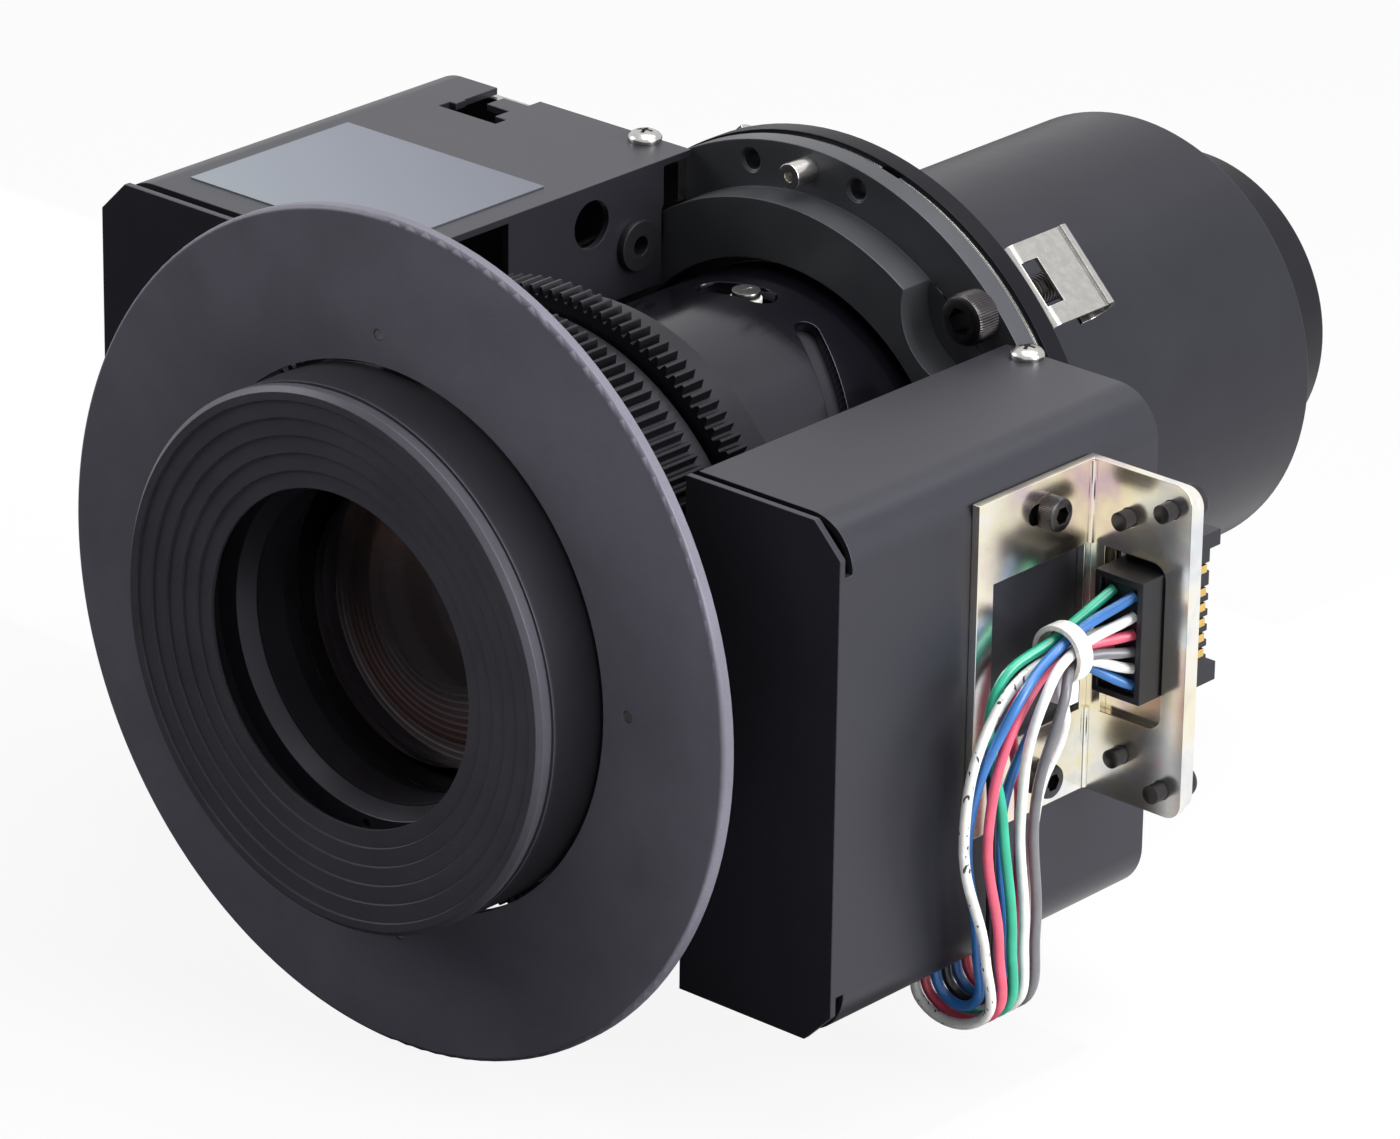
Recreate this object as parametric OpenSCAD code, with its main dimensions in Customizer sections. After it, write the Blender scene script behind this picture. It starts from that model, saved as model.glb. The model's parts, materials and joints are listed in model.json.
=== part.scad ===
// Motorised zoom projection lens with a round baffle disc, two gear rings,
// a mounting flange, a rear barrel and two sheet metal drive covers.
// The lens axis is Y, the front looks along -Y, and the origin is on the axis
// at the seating face of the back plate.

/* [Seat and flange] */
// Thickness of the back plate
plate_t = 3.8; // [2.5:0.1:5]
// Radius of the back plate
plate_r = 54.4; // [53:0.1:57]
// Thickness of the shim slot between flange and back plate
shim_t = 1.2; // [0.8:0.1:2]
// Outer radius of the shim segments
shim_r = 53.7; // [52:0.1:54]
// Thickness of the flange rim
rim_t = 3.9; // [3:0.1:6]
// Radius of the flange rim
rim_r = 54.1; // [53:0.1:57]
// Height of the flange boss in front of the rim
boss_h = 6.4; // [5:0.1:8]
// Radius of the flange boss
boss_r = 46.3; // [45:0.1:47]
// Radius of the bore in the boss
boss_bore_r = 36.3; // [36:0.1:38]
// Depth of the bore in the boss
boss_bore_depth = 5.5; // [4:0.1:6]
// Radius of the circle that carries the flange screws and posts
bolt_circle_r = 50.6; // [50:0.1:51]
// Radius of the M5 screw shanks
stud_r = 2.5; // [2:0.1:3]
// Length of the screw ends behind the back plate
stud_reach = 10.5; // [8:0.5:14]
// Angle of the first flange screw
stud_angle = 45; // [43:0.5:47]

/* [Front disc and hood] */
// Radius of the baffle disc
disc_r = 68; // [60:0.5:80]
// Thickness of the baffle disc
disc_t = 2.3; // [1.5:0.1:3]
// Radius of the hole in the disc
disc_hole_r = 44.2; // [43.8:0.1:45]
// Radius of the circle of disc screws
disc_screw_circle_r = 49; // [48:0.1:50]
// Angle of the first disc screw
disc_screw_angle = 2.4; // [0:0.1:5]
// Outer radius of the hood ring
hood_r = 43.45; // [42:0.05:43.6]
// Distance that the hood stands out in front of the disc
hood_reach = 13.1; // [8:0.1:20]
// Inner radius of the flat rim of the hood
hood_rim_r = 41.3; // [38:0.1:42]
// Radius of the mouth of the hood
hood_mouth_r = 27; // [26.5:0.1:30]
// Number of terraces in the hood face
hood_terraces = 5; // [3:1:8]
// Drop of each terrace
hood_terrace_drop = 0.43; // [0.2:0.01:0.6]
// Travel of the hood each way from its rest place
hood_travel = 2; // [1:0.1:2.2]

/* [Gear rings] */
// Module of all gears
gear_module = 0.65; // [0.6:0.01:0.66]
// Teeth on the focus gear ring
focus_teeth = 139; // [135:1:139]
// Teeth on the zoom gear ring
zoom_teeth = 141; // [135:1:141]
// Teeth on each motor pinion
pinion_teeth = 16; // [14:1:20]
// Width of the focus gear ring
focus_ring_w = 21.6; // [18:0.1:22]
// Width of the zoom gear
zoom_gear_w = 4.6; // [4:0.1:6]
// Width of the plain shoulder behind the zoom gear
zoom_shoulder_w = 8.8; // [6:0.1:9]
// Radius of the plain shoulder behind the zoom gear
zoom_shoulder_r = 41.3; // [40:0.1:42]

/* [Tubes] */
// Inner radius of the front part of the guide tube
guide_bore_r = 36.5; // [36:0.1:37]
// Outer radius of the front part of the guide tube
guide_r = 40; // [39.5:0.1:40.5]
// Inner radius of the rear part of the guide tube
guide_tail_bore_r = 30.5; // [29:0.1:31]
// Outer radius of the rear part of the guide tube
guide_tail_r = 32.5; // [32:0.1:32.8]
// Outer radius of the cam barrel
barrel_r = 34.5; // [34:0.1:35]
// Length of the cam barrel
barrel_len = 57.6; // [55:0.1:60]
// Outer radius of the rear barrel
tail_r = 37.66; // [36:0.02:40]
// Length of the rear barrel
tail_len = 75.4; // [60:0.1:90]
// Wall of the rear barrel
tail_wall = 3.4; // [2:0.1:4]
// Outer radius of the rear lens ring
rear_ring_r = 26.96; // [25:0.02:30]
// Distance that the rear lens ring stands out behind the rear barrel
rear_ring_reach = 17.8; // [10:0.1:25]

/* [Drive covers] */
// Sheet thickness of the covers
sheet_t = 1.2; // [0.8:0.1:1.6]
// Outer radius of the large bends of the covers
bend_r = 8; // [4:0.5:12]
// Height of both covers
cover_h = 84.6; // [80:0.2:90]
// Length of the right cover
right_cover_len = 74.8; // [70:0.1:76]
// Length of the left cover
left_cover_len = 74.4; // [70:0.1:76]
// Open inner edge of the right cover from the axis
right_cover_in = 41.65; // [41:0.05:42]
// Side of the right cover from the axis
right_cover_out = 72.15; // [70:0.05:80]
// Top of the right cover above the axis
right_cover_top = 32.4; // [30:0.1:36]
// Open inner edge of the left cover from the axis
left_cover_in = 24.35; // [24:0.05:26]
// Side of the left cover from the axis
left_cover_out = 82.8; // [78:0.1:90]
// Top of the left cover above the axis
left_cover_top = 48; // [47:0.1:50]
// Length of the standoffs that carry the motor plates
standoff_len = 40.9; // [38:0.1:41]
// Radius of the gearboxes
gearbox_r = 12; // [8:0.1:12]

/* [Connector] */
// Sheet thickness of the bracket and the connector plate
zinc_t = 1.5; // [1:0.1:2]
// Height of the bracket
bracket_h = 55; // [50:0.5:60]
// Length of the bracket flange on the cover
bracket_foot = 28.5; // [26:0.5:32]
// Reach of the bracket flange that carries the connector
bracket_arm = 20.6; // [19:0.1:24]
// Distance from the rear edge of the cover to the back of the bracket
bracket_inset = 16.1; // [14:0.1:18]
// Height of the windows in the bracket
window_h = 27.4; // [26:0.1:30]
// Pitch of the contacts
contact_pitch = 2.54; // [2:0.01:2.54]

/* [Hidden] */
$fn = 96;

// Colours
black_coat = [0.16, 0.16, 0.18];
dark_grey = [0.28, 0.28, 0.31];
mid_grey = [0.42, 0.42, 0.44];
steel = [0.78, 0.78, 0.78];
zinc = [0.78, 0.72, 0.48];
gold = [0.9, 0.72, 0.3];
nylon = [0.93, 0.93, 0.9];
glass = [0.45, 0.35, 0.38, 0.6];
board_green = [0.1, 0.38, 0.2];

// Overrun of every cut, and the clearances of the fits
over = 1;
slide_gap = 0.08;
fit_gap = 0.05;
hole_gap = 0.15;
part_gap = 0.5;

// Stations along the axis, from the seating face forwards
plate_front = -plate_t;
flange_rear = plate_front - shim_t;
flange_front = flange_rear - rim_t;
boss_front = flange_front - boss_h;
bore_step = boss_front + boss_bore_depth;
rear_washer_t = 1;
barrel_rear = bore_step - rear_washer_t;
barrel_front = barrel_rear - barrel_len;
front_washer_t = 0.4;
zoom_gear_inset = 0.24;
zoom_gear_front = barrel_front + zoom_gear_inset;
collar_rear = barrel_front - front_washer_t;
collar_t = 4;
collar_front = collar_rear - collar_t;
ring_end_gap = 0.4;
focus_rear = collar_front - ring_end_gap;
focus_front = focus_rear - focus_ring_w;
keeper_gap = 0.1;
keeper_t = 1.7;
keeper_front = focus_front - keeper_gap - keeper_t;
lug_gap = 0.7;
lug_rear = keeper_front - lug_gap;
lug_t = 3;
lug_front = lug_rear - lug_t;
pad_reach = 2.2;
disc_rear = lug_front - pad_reach;
disc_front = disc_rear - disc_t;
hood_front = disc_front - hood_reach;

// Front disc
disc_edge_r = 0.8;
disc_screw_r = 0.85;
disc_screw_recess = 0.2;
disc_screw_head_r = 1.9;
disc_screw_head_h = 1.5;
disc_screws_count = 4;

// Hood ring and its cells
hood_chamfer = 0.85;
hood_groove_at = 2.2;
hood_groove_w = 0.9;
hood_groove_depth = 0.5;
hood_sink = 1.5;
hood_back = disc_front + hood_sink;
hood_mouth = hood_front + (hood_terraces) * hood_terrace_drop;
hood_land = 0.6;
hood_lip_r = 29.4;
hood_lip_depth = 3;
hood_bore_r = 31.4;
cell_seat_depth = 33.1;
hood_skirt_len = 25.5;
skirt_back = hood_back + hood_skirt_len;
skirt_r = guide_bore_r - slide_gap;
cell_seat = hood_front + cell_seat_depth;
cell_seat_r = 20;
cell_r = hood_bore_r - fit_gap;
inner_cell_t = 8;
inner_cell_front = cell_seat - inner_cell_t;
inner_cell_lip_r = 21.84;
inner_cell_lip_t = 1.5;
inner_lens_r = 23.4;
inner_lens_t = 4.5;
inner_back_lip_r = 19;
front_cell_t = 14.15;
front_cell_front = inner_cell_front - front_cell_t;
front_cell_lip_r = 25.6;
front_cell_lip_t = 5.65;
front_lens_r = 27.3;
front_lens_t = 5.5;
front_cell_back_r = 22.6;
retainer_t = 2.85;
retainer_front = front_cell_front - retainer_t;
retainer_r = 25.93;
retainer_land_r = 27.6;
spanner_hole_r = 0.75;
spanner_circle_r = 29.2;
lens_fn = 360;
front_lens_sphere_r = 90;
inner_lens_sphere_r = 80;

// Focus drive
focus_pin_r = 1.5;
focus_pin_angles = [40, 160, 280];
focus_pin_at = 13;
focus_pin_y = focus_front + focus_pin_at;
pin_root_depth = 2.8;
pin_root_r = skirt_r - pin_root_depth;
pin_tip_gap = 0.35;
relief_r = 42.2;
focus_ring_bore_r = guide_r + slide_gap;
keeper_r = 43;
collar_r = 43;
lug_w = 8;
lug_r = 51.5;
pad_in_r = 45.6;
guide_front_gap = 0.4;
guide_front = hood_back + hood_travel + guide_front_gap;

// Gear shape
pressure_angle = 20;
backlash = 0.1;
centre_relief = 0.05;
addendum_share = 1;
dedendum_share = 1.25;
root_share = 0.86;
focus_pitch_r = gear_module * focus_teeth / 2;
zoom_pitch_r = gear_module * zoom_teeth / 2;
pinion_pitch_r = gear_module * pinion_teeth / 2;
focus_centre_r = focus_pitch_r + pinion_pitch_r + centre_relief;
zoom_centre_r = zoom_pitch_r + pinion_pitch_r + centre_relief;
focus_pinion_angle = -10;
zoom_pinion_angle = 170;
focus_pinion_w = 8;
focus_pinion_inset = 0.6;
pinion_overhang = 0.5;
shaft_r = 2;
shaft_seat = 6;

// Zoom group
slot_half = 2.75;
free_slot_half = 2.15;
slot_step = 3.5 / 2;
roller_angle = 88.6;
roller_at = 44;
roller_y = barrel_front + roller_at;
roller_slope = 1 / 7;
roller_slot_low = 84.5;
roller_slot_high = 98.6;
free_slot_high = 66;
free_slot_low = 12;
free_slot_at = 43.6;
free_slot_y = barrel_front + free_slot_at;
free_slot_slope = 1 / 4;
roller_r = slot_half - hole_gap;
roller_base_gap = 0.6;
roller_sink = 0.9;
roller_pin_r = 1.2;
roller_head_r = 2.3;
roller_head_h = 1.2;
roller_count = 3;
guide_slot_half = slot_half;
zoom_travel = 2.5;
zoom_cell_r = guide_tail_bore_r - slide_gap;
zoom_cell_t = 16;
zoom_cell_lip_r = 24;
zoom_cell_lip_t = 2;
zoom_lens_r = 26;
zoom_lens_t = 8;
zoom_lens_sphere_r = 60;

// Flange details
scallop_r = 10.8;
head_r = 4.25;
head_h = 5;
hex_r = 2.3;
hex_depth = 2.6;
stud_hole_r = stud_r + hole_gap;
post_r = 2.15;
post_h = 4.9;
post_shank_r = 1.45;
post_shank_gap = 0.4;
post_hole_r = 0.8;
post_hole_depth = 2;
post_angles = [90, 270];
tap_r = 1.65;
tap_mouth_r = 2;
tap_mouth_depth = 0.35;
tap_angles = [78.7, 103.9, -78.7, -103.9];
shim_in_r = 47.5;
shim_count = 8;
shim_gap_angle = 4;
shim_phase = 8.5;
shim_split = 0.05;
clip_w = 14.8;
clip_t = 0.8;
clip_h = 16.2;
clip_foot = 8.9;
clip_bend_r = 2;
clip_roll_r = 3.2;
clip_bulge = 0.5;
clip_flap = 1.5;
clip_window_w = 8;
clip_window_h = 3.8;
clip_window_at = 1.2;

// Rear barrel and rear lens ring
tail_web_t = 4;
tail_web_r = 30.6;
tail_end_t = 6;
tail_chamfer = 0.7;
tail_bore_r = rear_ring_r + fit_gap;
rear_ring_hidden = 12;
rear_ring_bore_r = 23.4;
rear_seat_r = 21.5;
rear_seat_at = 14;
rear_seat_t = 2;
rear_lens_t = 7.5;
rear_lens_sphere_r = 48;
rear_retainer_t = 3;
rear_retainer_r = 21;
rear_ring_chamfer = 0.6;
barrel_screw_circle_r = 34;
barrel_screw_r = 1.5;
barrel_screw_head_r = 2.75;
barrel_screw_head_h = 1.7;
barrel_screw_counterbore = 2;
barrel_screw_len = 7.2;
barrel_screw_count = 6;

// Covers
cover_gap = 0.5;
cover_rear = flange_front - cover_gap;
right_relief = 2.9;
left_relief = 3.5;
front_plate_lap = 0.2;
front_chamfer = 5.2;
gear_clear_r = 48;
right_cover_low = right_cover_top - cover_h;
left_cover_low = left_cover_top - cover_h;
side_slot_h = 3.2;
side_slot_up = 4.5;
cover_screw_in = 2.1;
right_screw_x = 47.5;
left_screw_x = 32.5;
left_low_screw_x = 60;
left_cover_low_in = 33;
cover_screw_r = 1.5;
cover_screw_head_r = 2.8;
cover_screw_head_h = 1.9;
cover_screw_len = 5;
inner_wall_low = 27;
inner_wall_front_gap = 1.6;
inner_wall_rear_gap = 0.6;
peep_hole_r = 4;
peep_hole_y = -32.9;
peep_hole_z = 41.4;
grommet_y = -22.7;
grommet_z = 35.4;
grommet_r = 4.2;
grommet_neck_r = 3;
grommet_t = 1.4;
notch_bar_out = 67.8;
notch_bar_in = 55.2;
notch_bar_front = -22.3;
notch_bar_rear = -19.7;
notch_mid_out = 66.4;
notch_mid_in = 57.7;
notch_mid_rear = -16.3;
notch_stem_out = 66.8;
notch_stem_in = 62.7;
notch_edge_in = 57.3;
notch_edge_y = -12.3;
label_out = 72.4;
label_in = 29.3;
label_front = -74.3;
label_rear = -38.7;
label_t = 0.25;
frame_t = 2;
frame_front = flange_front - frame_t;
frame_gap = 0.25;
frame_hole_r = boss_r + part_gap;
stud_clear_x = bolt_circle_r * cos(stud_angle) + head_r + over;
tab_w = 10;
tab_len = 7.5;
tab_t = 1.4;
wire_hole_in = 61.6;
wire_hole_out = 69;
wire_hole_front = -56;
wire_hole_rear = -42.6;

// Motors and what carries them
motor_plate_t = 2;
motor_plate_rear = frame_front - standoff_len;
motor_plate_front = motor_plate_rear - motor_plate_t;
motor_plate_in = 42;
motor_plate_gap = 0.6;
shoulder_clear_r = zoom_shoulder_r + 2 * part_gap;
standoff_r = 3;
standoff_pin_r = 1.5;
standoff_pin_len = 3;
right_standoff_angles = [28, -28];
left_standoff_angles = [150, 210];
right_outer_standoff = [64, 22];
left_outer_standoff = [74, -24];
gearbox_len = 13;
gearbox_boss_r = 4;
motor_r = 11;
motor_len = 21;
motor_cap_r = 4;
motor_cap_h = 1.2;
switch_x = 6;
switch_y = 6.5;
switch_z = 12.8;
right_switch_in = 46.5;
right_switch_low = 8;
left_switch_in = 47.5;
left_switch_low = -6;
lever_t = 0.4;
board_in_gap = 4.35;
board_in = right_cover_in + board_in_gap;
board_side_gap = 5.45;
board_out = right_cover_out - sheet_t - board_side_gap;
board_front_gap = 28.2;
board_front = cover_rear - right_cover_len + sheet_t + board_front_gap;
board_rear_gap = 8.6;
board_rear = cover_rear - board_rear_gap;
board_rise = 9.6;
board_top = right_cover_low + sheet_t + board_rise;
board_t = 1.6;
motor_plate_rise = 10.4;
right_plate_low = board_top + motor_plate_rise;
spacer_r = 2.2;
spacer_margin = 3.2;
socket_drop = 5.5;
socket_in = 61.2;
socket_out = 69.2;
socket_margin = 0.6;

// Bracket, connector plate and connector
bracket_rear = cover_rear - bracket_inset;
bracket_front = bracket_rear - zinc_t;
bracket_out = right_cover_out + zinc_t;
bracket_end = bracket_out + bracket_arm - zinc_t;
bracket_corner_r = 3;
window_out = 88.2;
window_foot_front = 3.8;
window_in = 76.4;
window_corner_r = 2.5;
plate_window_r = 1;
screw_m3_r = 1.5;
screw_m3_head_r = 2.75;
screw_m3_head_h = 3;
screw_m3_hex_r = 1.45;
screw_m3_hex_depth = 1.6;
bracket_screw_y = -38;
bracket_screw_z = 22.1;
bracket_slot_len = 2.6;
nut_plate_t = 2.5;
nut_plate_w = 9;
nut_plate_h = 48.4;
plate_in = 76;
plate_trim = 0.8;
far_screw_x = 88.8;
far_screw_z = 23.2;
near_screw_x = 80.8;
near_screw_z = 19.7;
screw_end_reach = 2.6;
housing_in = 78.6;
housing_out = 87.9;
housing_low = -7.9;
housing_top = 12.3;
housing_front_reach = 5;
housing_wall = 1.1;
housing_recess = 1.2;
drawer_in = 78;
drawer_out = 86.5;
drawer_low = -10.3;
drawer_top = 14.8;
drawer_len = 10.1;
drawer_end_len = 12.6;
drawer_end_low = 3.1;
drawer_end_top = 2.6;
contact_top = 9.4;
contact_first_gap = 1.5;
contact_count = 6;
contact_w = 1.3;
contact_t = 0.5;
contact_len = 8.6;
contact_sink = 0.3;
tie_x = 80;
tie_z = 1.5;
tie_in_r = 3.9;
tie_t = 0.9;
tie_w = 3;
tie_front = -42.5;
tie_head = 4.4;
tie_head_t = 4;

// Wire loom: the route of each wire, from the housing through the tie, down the
// side of the cover and up through its bottom sheet
wire_r = 0.84;
wire_sides = 8;
wires = [
    [[81.4, -30.8, 9.4], [79, -41, 4], [77.1, -52.9, -1.9], [80.2, -54.4, -22],
        [79.6, -50.6, -44], [77, -49.2, -56.6], [65, -49.2, -57.4], [63.6, -49.2, -49]],
    [[85.5, -30.8, 9.4], [81, -41, 4], [81.9, -54.9, -3.3], [77.3, -58.8, -22],
        [77.2, -55.9, -44], [75, -54, -54.6], [69.4, -54, -54.8], [67, -54, -49]],
    [[85.5, -30.8, 6], [82.5, -41, 2.6], [84.6, -50.5, -1.2], [79.9, -49.7, -22],
        [79.6, -47.7, -44], [77, -46.8, -56.6], [65, -46.8, -57.4], [63.6, -46.8, -49]],
    [[85.5, -30.8, 3], [81, -41, 1.5], [81.2, -52, -4.3], [80.2, -57.7, -22],
        [79.6, -53.6, -44], [77, -51.6, -56.6], [65, -51.6, -57.4], [63.6, -51.6, -49]],
    [[85.5, -30.8, 0.2], [82.5, -41, 0.4], [84.6, -46.1, -3.6], [79.7, -46, -22],
        [79.6, -44.9, -44], [77, -44.4, -56.6], [65, -44.4, -57.4], [63.6, -44.4, -49]],
    [[85.5, -30.8, -2.6], [81, -41, -1], [80.7, -40.8, -10.3], [77.8, -42.9, -22],
        [77.2, -44.1, -44], [75, -44.4, -54.6], [69.4, -44.4, -54.8], [67, -44.4, -49]],
    [[85.5, -30.8, -5.4], [79, -41, -1], [80.8, -46.3, -4.8], [77.2, -50.8, -22],
        [77.2, -49.9, -44], [75, -49.2, -54.6], [69.4, -49.2, -54.8], [67, -49.2, -49]],
    [[81.4, -30.8, 6], [77.5, -41, 2.6], [76.6, -51.3, -3.2], [77.7, -54, -22],
        [77.2, -52.9, -44], [75, -51.6, -54.6], [69.4, -51.6, -54.8], [67, -51.6, -49]],
    [[81.4, -30.8, 3], [79, -41, 1.5], [79.5, -56.2, -4.1], [79.6, -62.8, -22],
        [79.6, -56.9, -44], [77, -54, -56.6], [65, -54, -57.4], [63.6, -54, -49]],
    [[81.4, -30.8, 0.2], [77.5, -41, 0.4], [76.6, -46.9, -3.2], [77.7, -47.4, -22],
        [77.2, -47, -44], [75, -46.8, -54.6], [69.4, -46.8, -54.8], [67, -46.8, -49]],
];

// Helpers for places and plain bodies

module rod(y0, y1, r) {
    translate([0, y0, 0]) rotate([-90, 0, 0]) cylinder(h = y1 - y0, r = r);
}

module tube(y0, y1, r_out, r_in) {
    difference() {
        rod(y0, y1, r_out);
        rod(y0 - over, y1 + over, r_in);
    }
}

module around(angle, r) {
    rotate([0, -angle, 0]) translate([r, 0, 0]) children();
}

module block(x0, x1, y0, y1, z0, z1) {
    translate([x0, y0, z0]) cube([x1 - x0, y1 - y0, z1 - z0]);
}

module turned() {
    rotate([90, 0, 0]) rotate_extrude() children();
}

module extrude_y(y0, y1) {
    translate([0, y1, 0]) rotate([90, 0, 0]) linear_extrude(height = y1 - y0) children();
}

module radial_rod(r0, r1, r) {
    rotate([0, 90, 0]) translate([0, 0, r0]) cylinder(h = r1 - r0, r = r);
}

module rounded_side(x0, x1, z0, z1, r) {
    translate([x0, z0]) square([x1 - x0 - r, z1 - z0]);
    translate([x1 - r, z0 + r]) square([r, z1 - z0 - 2 * r]);
    translate([x1 - r, z0 + r]) circle(r = r);
    translate([x1 - r, z1 - r]) circle(r = r);
}

module lens(y0, y1, r, sphere_y, sphere_r) {
    intersection() {
        rod(y0, y1, r);
        translate([0, sphere_y, 0]) sphere(r = sphere_r, $fn = lens_fn);
    }
}

// Gear outline from the involute of the base circle

function involute(a) = tan(a) * 180 / PI - a;

function half_angle(r, pitch_r, teeth) =
    let (base_r = pitch_r * cos(pressure_angle))
    let (thick = 90 / teeth - backlash / 4 / pitch_r * 180 / PI)
    thick + involute(pressure_angle) - involute(acos(min(1, base_r / max(r, base_r))));

function tooth_points(centre, radii, halves) = concat(
    [for (i = [0 : len(radii) - 1])
        [radii[i] * cos(centre - halves[i]), radii[i] * sin(centre - halves[i])]],
    [for (i = [len(radii) - 1 : -1 : 0])
        [radii[i] * cos(centre + halves[i]), radii[i] * sin(centre + halves[i])]]);

module gear_outline(teeth, root_share) {
    pitch_r = gear_module * teeth / 2;
    base_r = pitch_r * cos(pressure_angle);
    root_r = pitch_r - dedendum_share * gear_module;
    tip_r = pitch_r + addendum_share * gear_module;
    low_r = max(root_r, base_r);
    radii = [root_r, low_r + (tip_r - low_r) / 20, (low_r + tip_r) / 2, tip_r];
    halves = [for (i = [0 : len(radii) - 1])
        half_angle(radii[i], pitch_r, teeth) * (i == 0 ? root_share : 1)];
    polygon([for (t = [0 : teeth - 1]) each tooth_points(360 * t / teeth, radii, halves)]);
}

// Front disc and its screws

module front_disc() {
    color(dark_grey) difference() {
        turned() {
            translate([disc_hole_r, -disc_rear]) square([disc_r - disc_hole_r - disc_edge_r, disc_t]);
            translate([disc_r - disc_edge_r, -disc_rear]) square([disc_edge_r, disc_t - disc_edge_r]);
            translate([disc_r - disc_edge_r, -disc_front - disc_edge_r]) circle(r = disc_edge_r);
        }
        for (k = [0 : disc_screws_count - 1])
            around(disc_screw_angle + 360 * k / disc_screws_count, disc_screw_circle_r)
                rod(disc_front - over, disc_rear + over, disc_screw_r + hole_gap);
    }
}

module disc_screws() {
    color(steel) for (k = [0 : disc_screws_count - 1])
        around(disc_screw_angle + 360 * k / disc_screws_count, disc_screw_circle_r) {
            rod(disc_front + disc_screw_recess, lug_rear, disc_screw_r);
            rod(lug_rear, lug_rear + disc_screw_head_h, disc_screw_head_r);
        }
}

// Hood ring with its terraced face, and the optics that move with it

module hood_ring() {
    terrace_w = (hood_rim_r - hood_mouth_r) / hood_terraces;
    color(dark_grey) difference() {
        turned() difference() {
            union() {
                translate([hood_mouth_r, -hood_back])
                    square([hood_r - hood_mouth_r - hood_chamfer, hood_back - hood_front]);
                translate([hood_r - hood_chamfer - over, -hood_back])
                    square([hood_chamfer + over, hood_back - hood_front - hood_chamfer]);
                polygon([[hood_r - hood_chamfer - over, -hood_front - hood_chamfer],
                    [hood_r, -hood_front - hood_chamfer], [hood_r - hood_chamfer, -hood_front],
                    [hood_r - hood_chamfer - over, -hood_front]]);
                translate([cell_seat_r, -skirt_back])
                    square([skirt_r - cell_seat_r, skirt_back - hood_back + over]);
            }
            for (k = [0 : hood_terraces - 1])
                translate([0, -hood_front - (k + 1) * hood_terrace_drop])
                    square([hood_rim_r - k * terrace_w, (k + 1) * hood_terrace_drop + over]);
            polygon([[0, -hood_mouth - hood_land], [hood_mouth_r, -hood_mouth - hood_land],
                [hood_lip_r, -hood_mouth - hood_lip_depth], [0, -hood_mouth - hood_lip_depth]]);
            translate([0, -cell_seat])
                square([hood_bore_r, cell_seat - hood_mouth - hood_lip_depth]);
            translate([hood_r - hood_groove_depth, -hood_front - hood_groove_at - hood_groove_w])
                square([hood_groove_depth + over, hood_groove_w]);
        }
        for (a = focus_pin_angles)
            rotate([0, -a, 0]) translate([0, focus_pin_y, 0])
                radial_rod(pin_root_r, guide_r, focus_pin_r + fit_gap);
    }
}

module front_retainer() {
    color(dark_grey) difference() {
        turned() polygon([[retainer_land_r, -retainer_front], [cell_r, -retainer_front],
            [cell_r, -front_cell_front], [retainer_r, -front_cell_front]]);
        for (a = [90, 270])
            around(a, spanner_circle_r)
                rod(retainer_front - over, retainer_front + retainer_t / 2, spanner_hole_r);
    }
}

module front_cell() {
    lens_front = front_cell_front + front_cell_lip_t;
    color(mid_grey) difference() {
        rod(front_cell_front, inner_cell_front, cell_r);
        rod(front_cell_front - over, lens_front + over, front_cell_lip_r);
        rod(lens_front, lens_front + front_lens_t, front_lens_r);
        rod(lens_front, inner_cell_front + over, front_cell_back_r);
    }
}

module front_lens() {
    lens_front = front_cell_front + front_cell_lip_t;
    color(glass) lens(lens_front, lens_front + front_lens_t, front_lens_r - fit_gap,
        lens_front + front_lens_sphere_r, front_lens_sphere_r);
}

module inner_cell() {
    lens_front = inner_cell_front + inner_cell_lip_t;
    color(mid_grey) difference() {
        rod(inner_cell_front, cell_seat, cell_r);
        rod(inner_cell_front - over, lens_front + over, inner_cell_lip_r);
        rod(lens_front, lens_front + inner_lens_t, inner_lens_r);
        rod(lens_front, cell_seat + over, inner_back_lip_r);
    }
}

module inner_lens() {
    lens_front = inner_cell_front + inner_cell_lip_t;
    color(glass) lens(lens_front, lens_front + inner_lens_t, inner_lens_r - fit_gap,
        lens_front + inner_lens_sphere_r, inner_lens_sphere_r);
}

module focus_pins() {
    color(steel) for (a = focus_pin_angles)
        rotate([0, -a, 0]) translate([0, focus_pin_y, 0])
            radial_rod(pin_root_r, relief_r - pin_tip_gap, focus_pin_r);
}

// Focus gear ring and the guide tube that carries it

module focus_gear_ring() {
    relief_half = focus_pin_r + hood_travel + part_gap;
    color(black_coat) difference() {
        extrude_y(focus_front, focus_rear)
            rotate(focus_pinion_angle) gear_outline(focus_teeth, 1);
        rod(focus_front - over, focus_rear + over, focus_ring_bore_r);
        rod(focus_pin_y - relief_half, focus_pin_y + relief_half, relief_r);
    }
}

module focus_keeper_ring() {
    color(steel) tube(keeper_front, keeper_front + keeper_t, keeper_r, guide_r + fit_gap);
}

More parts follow.
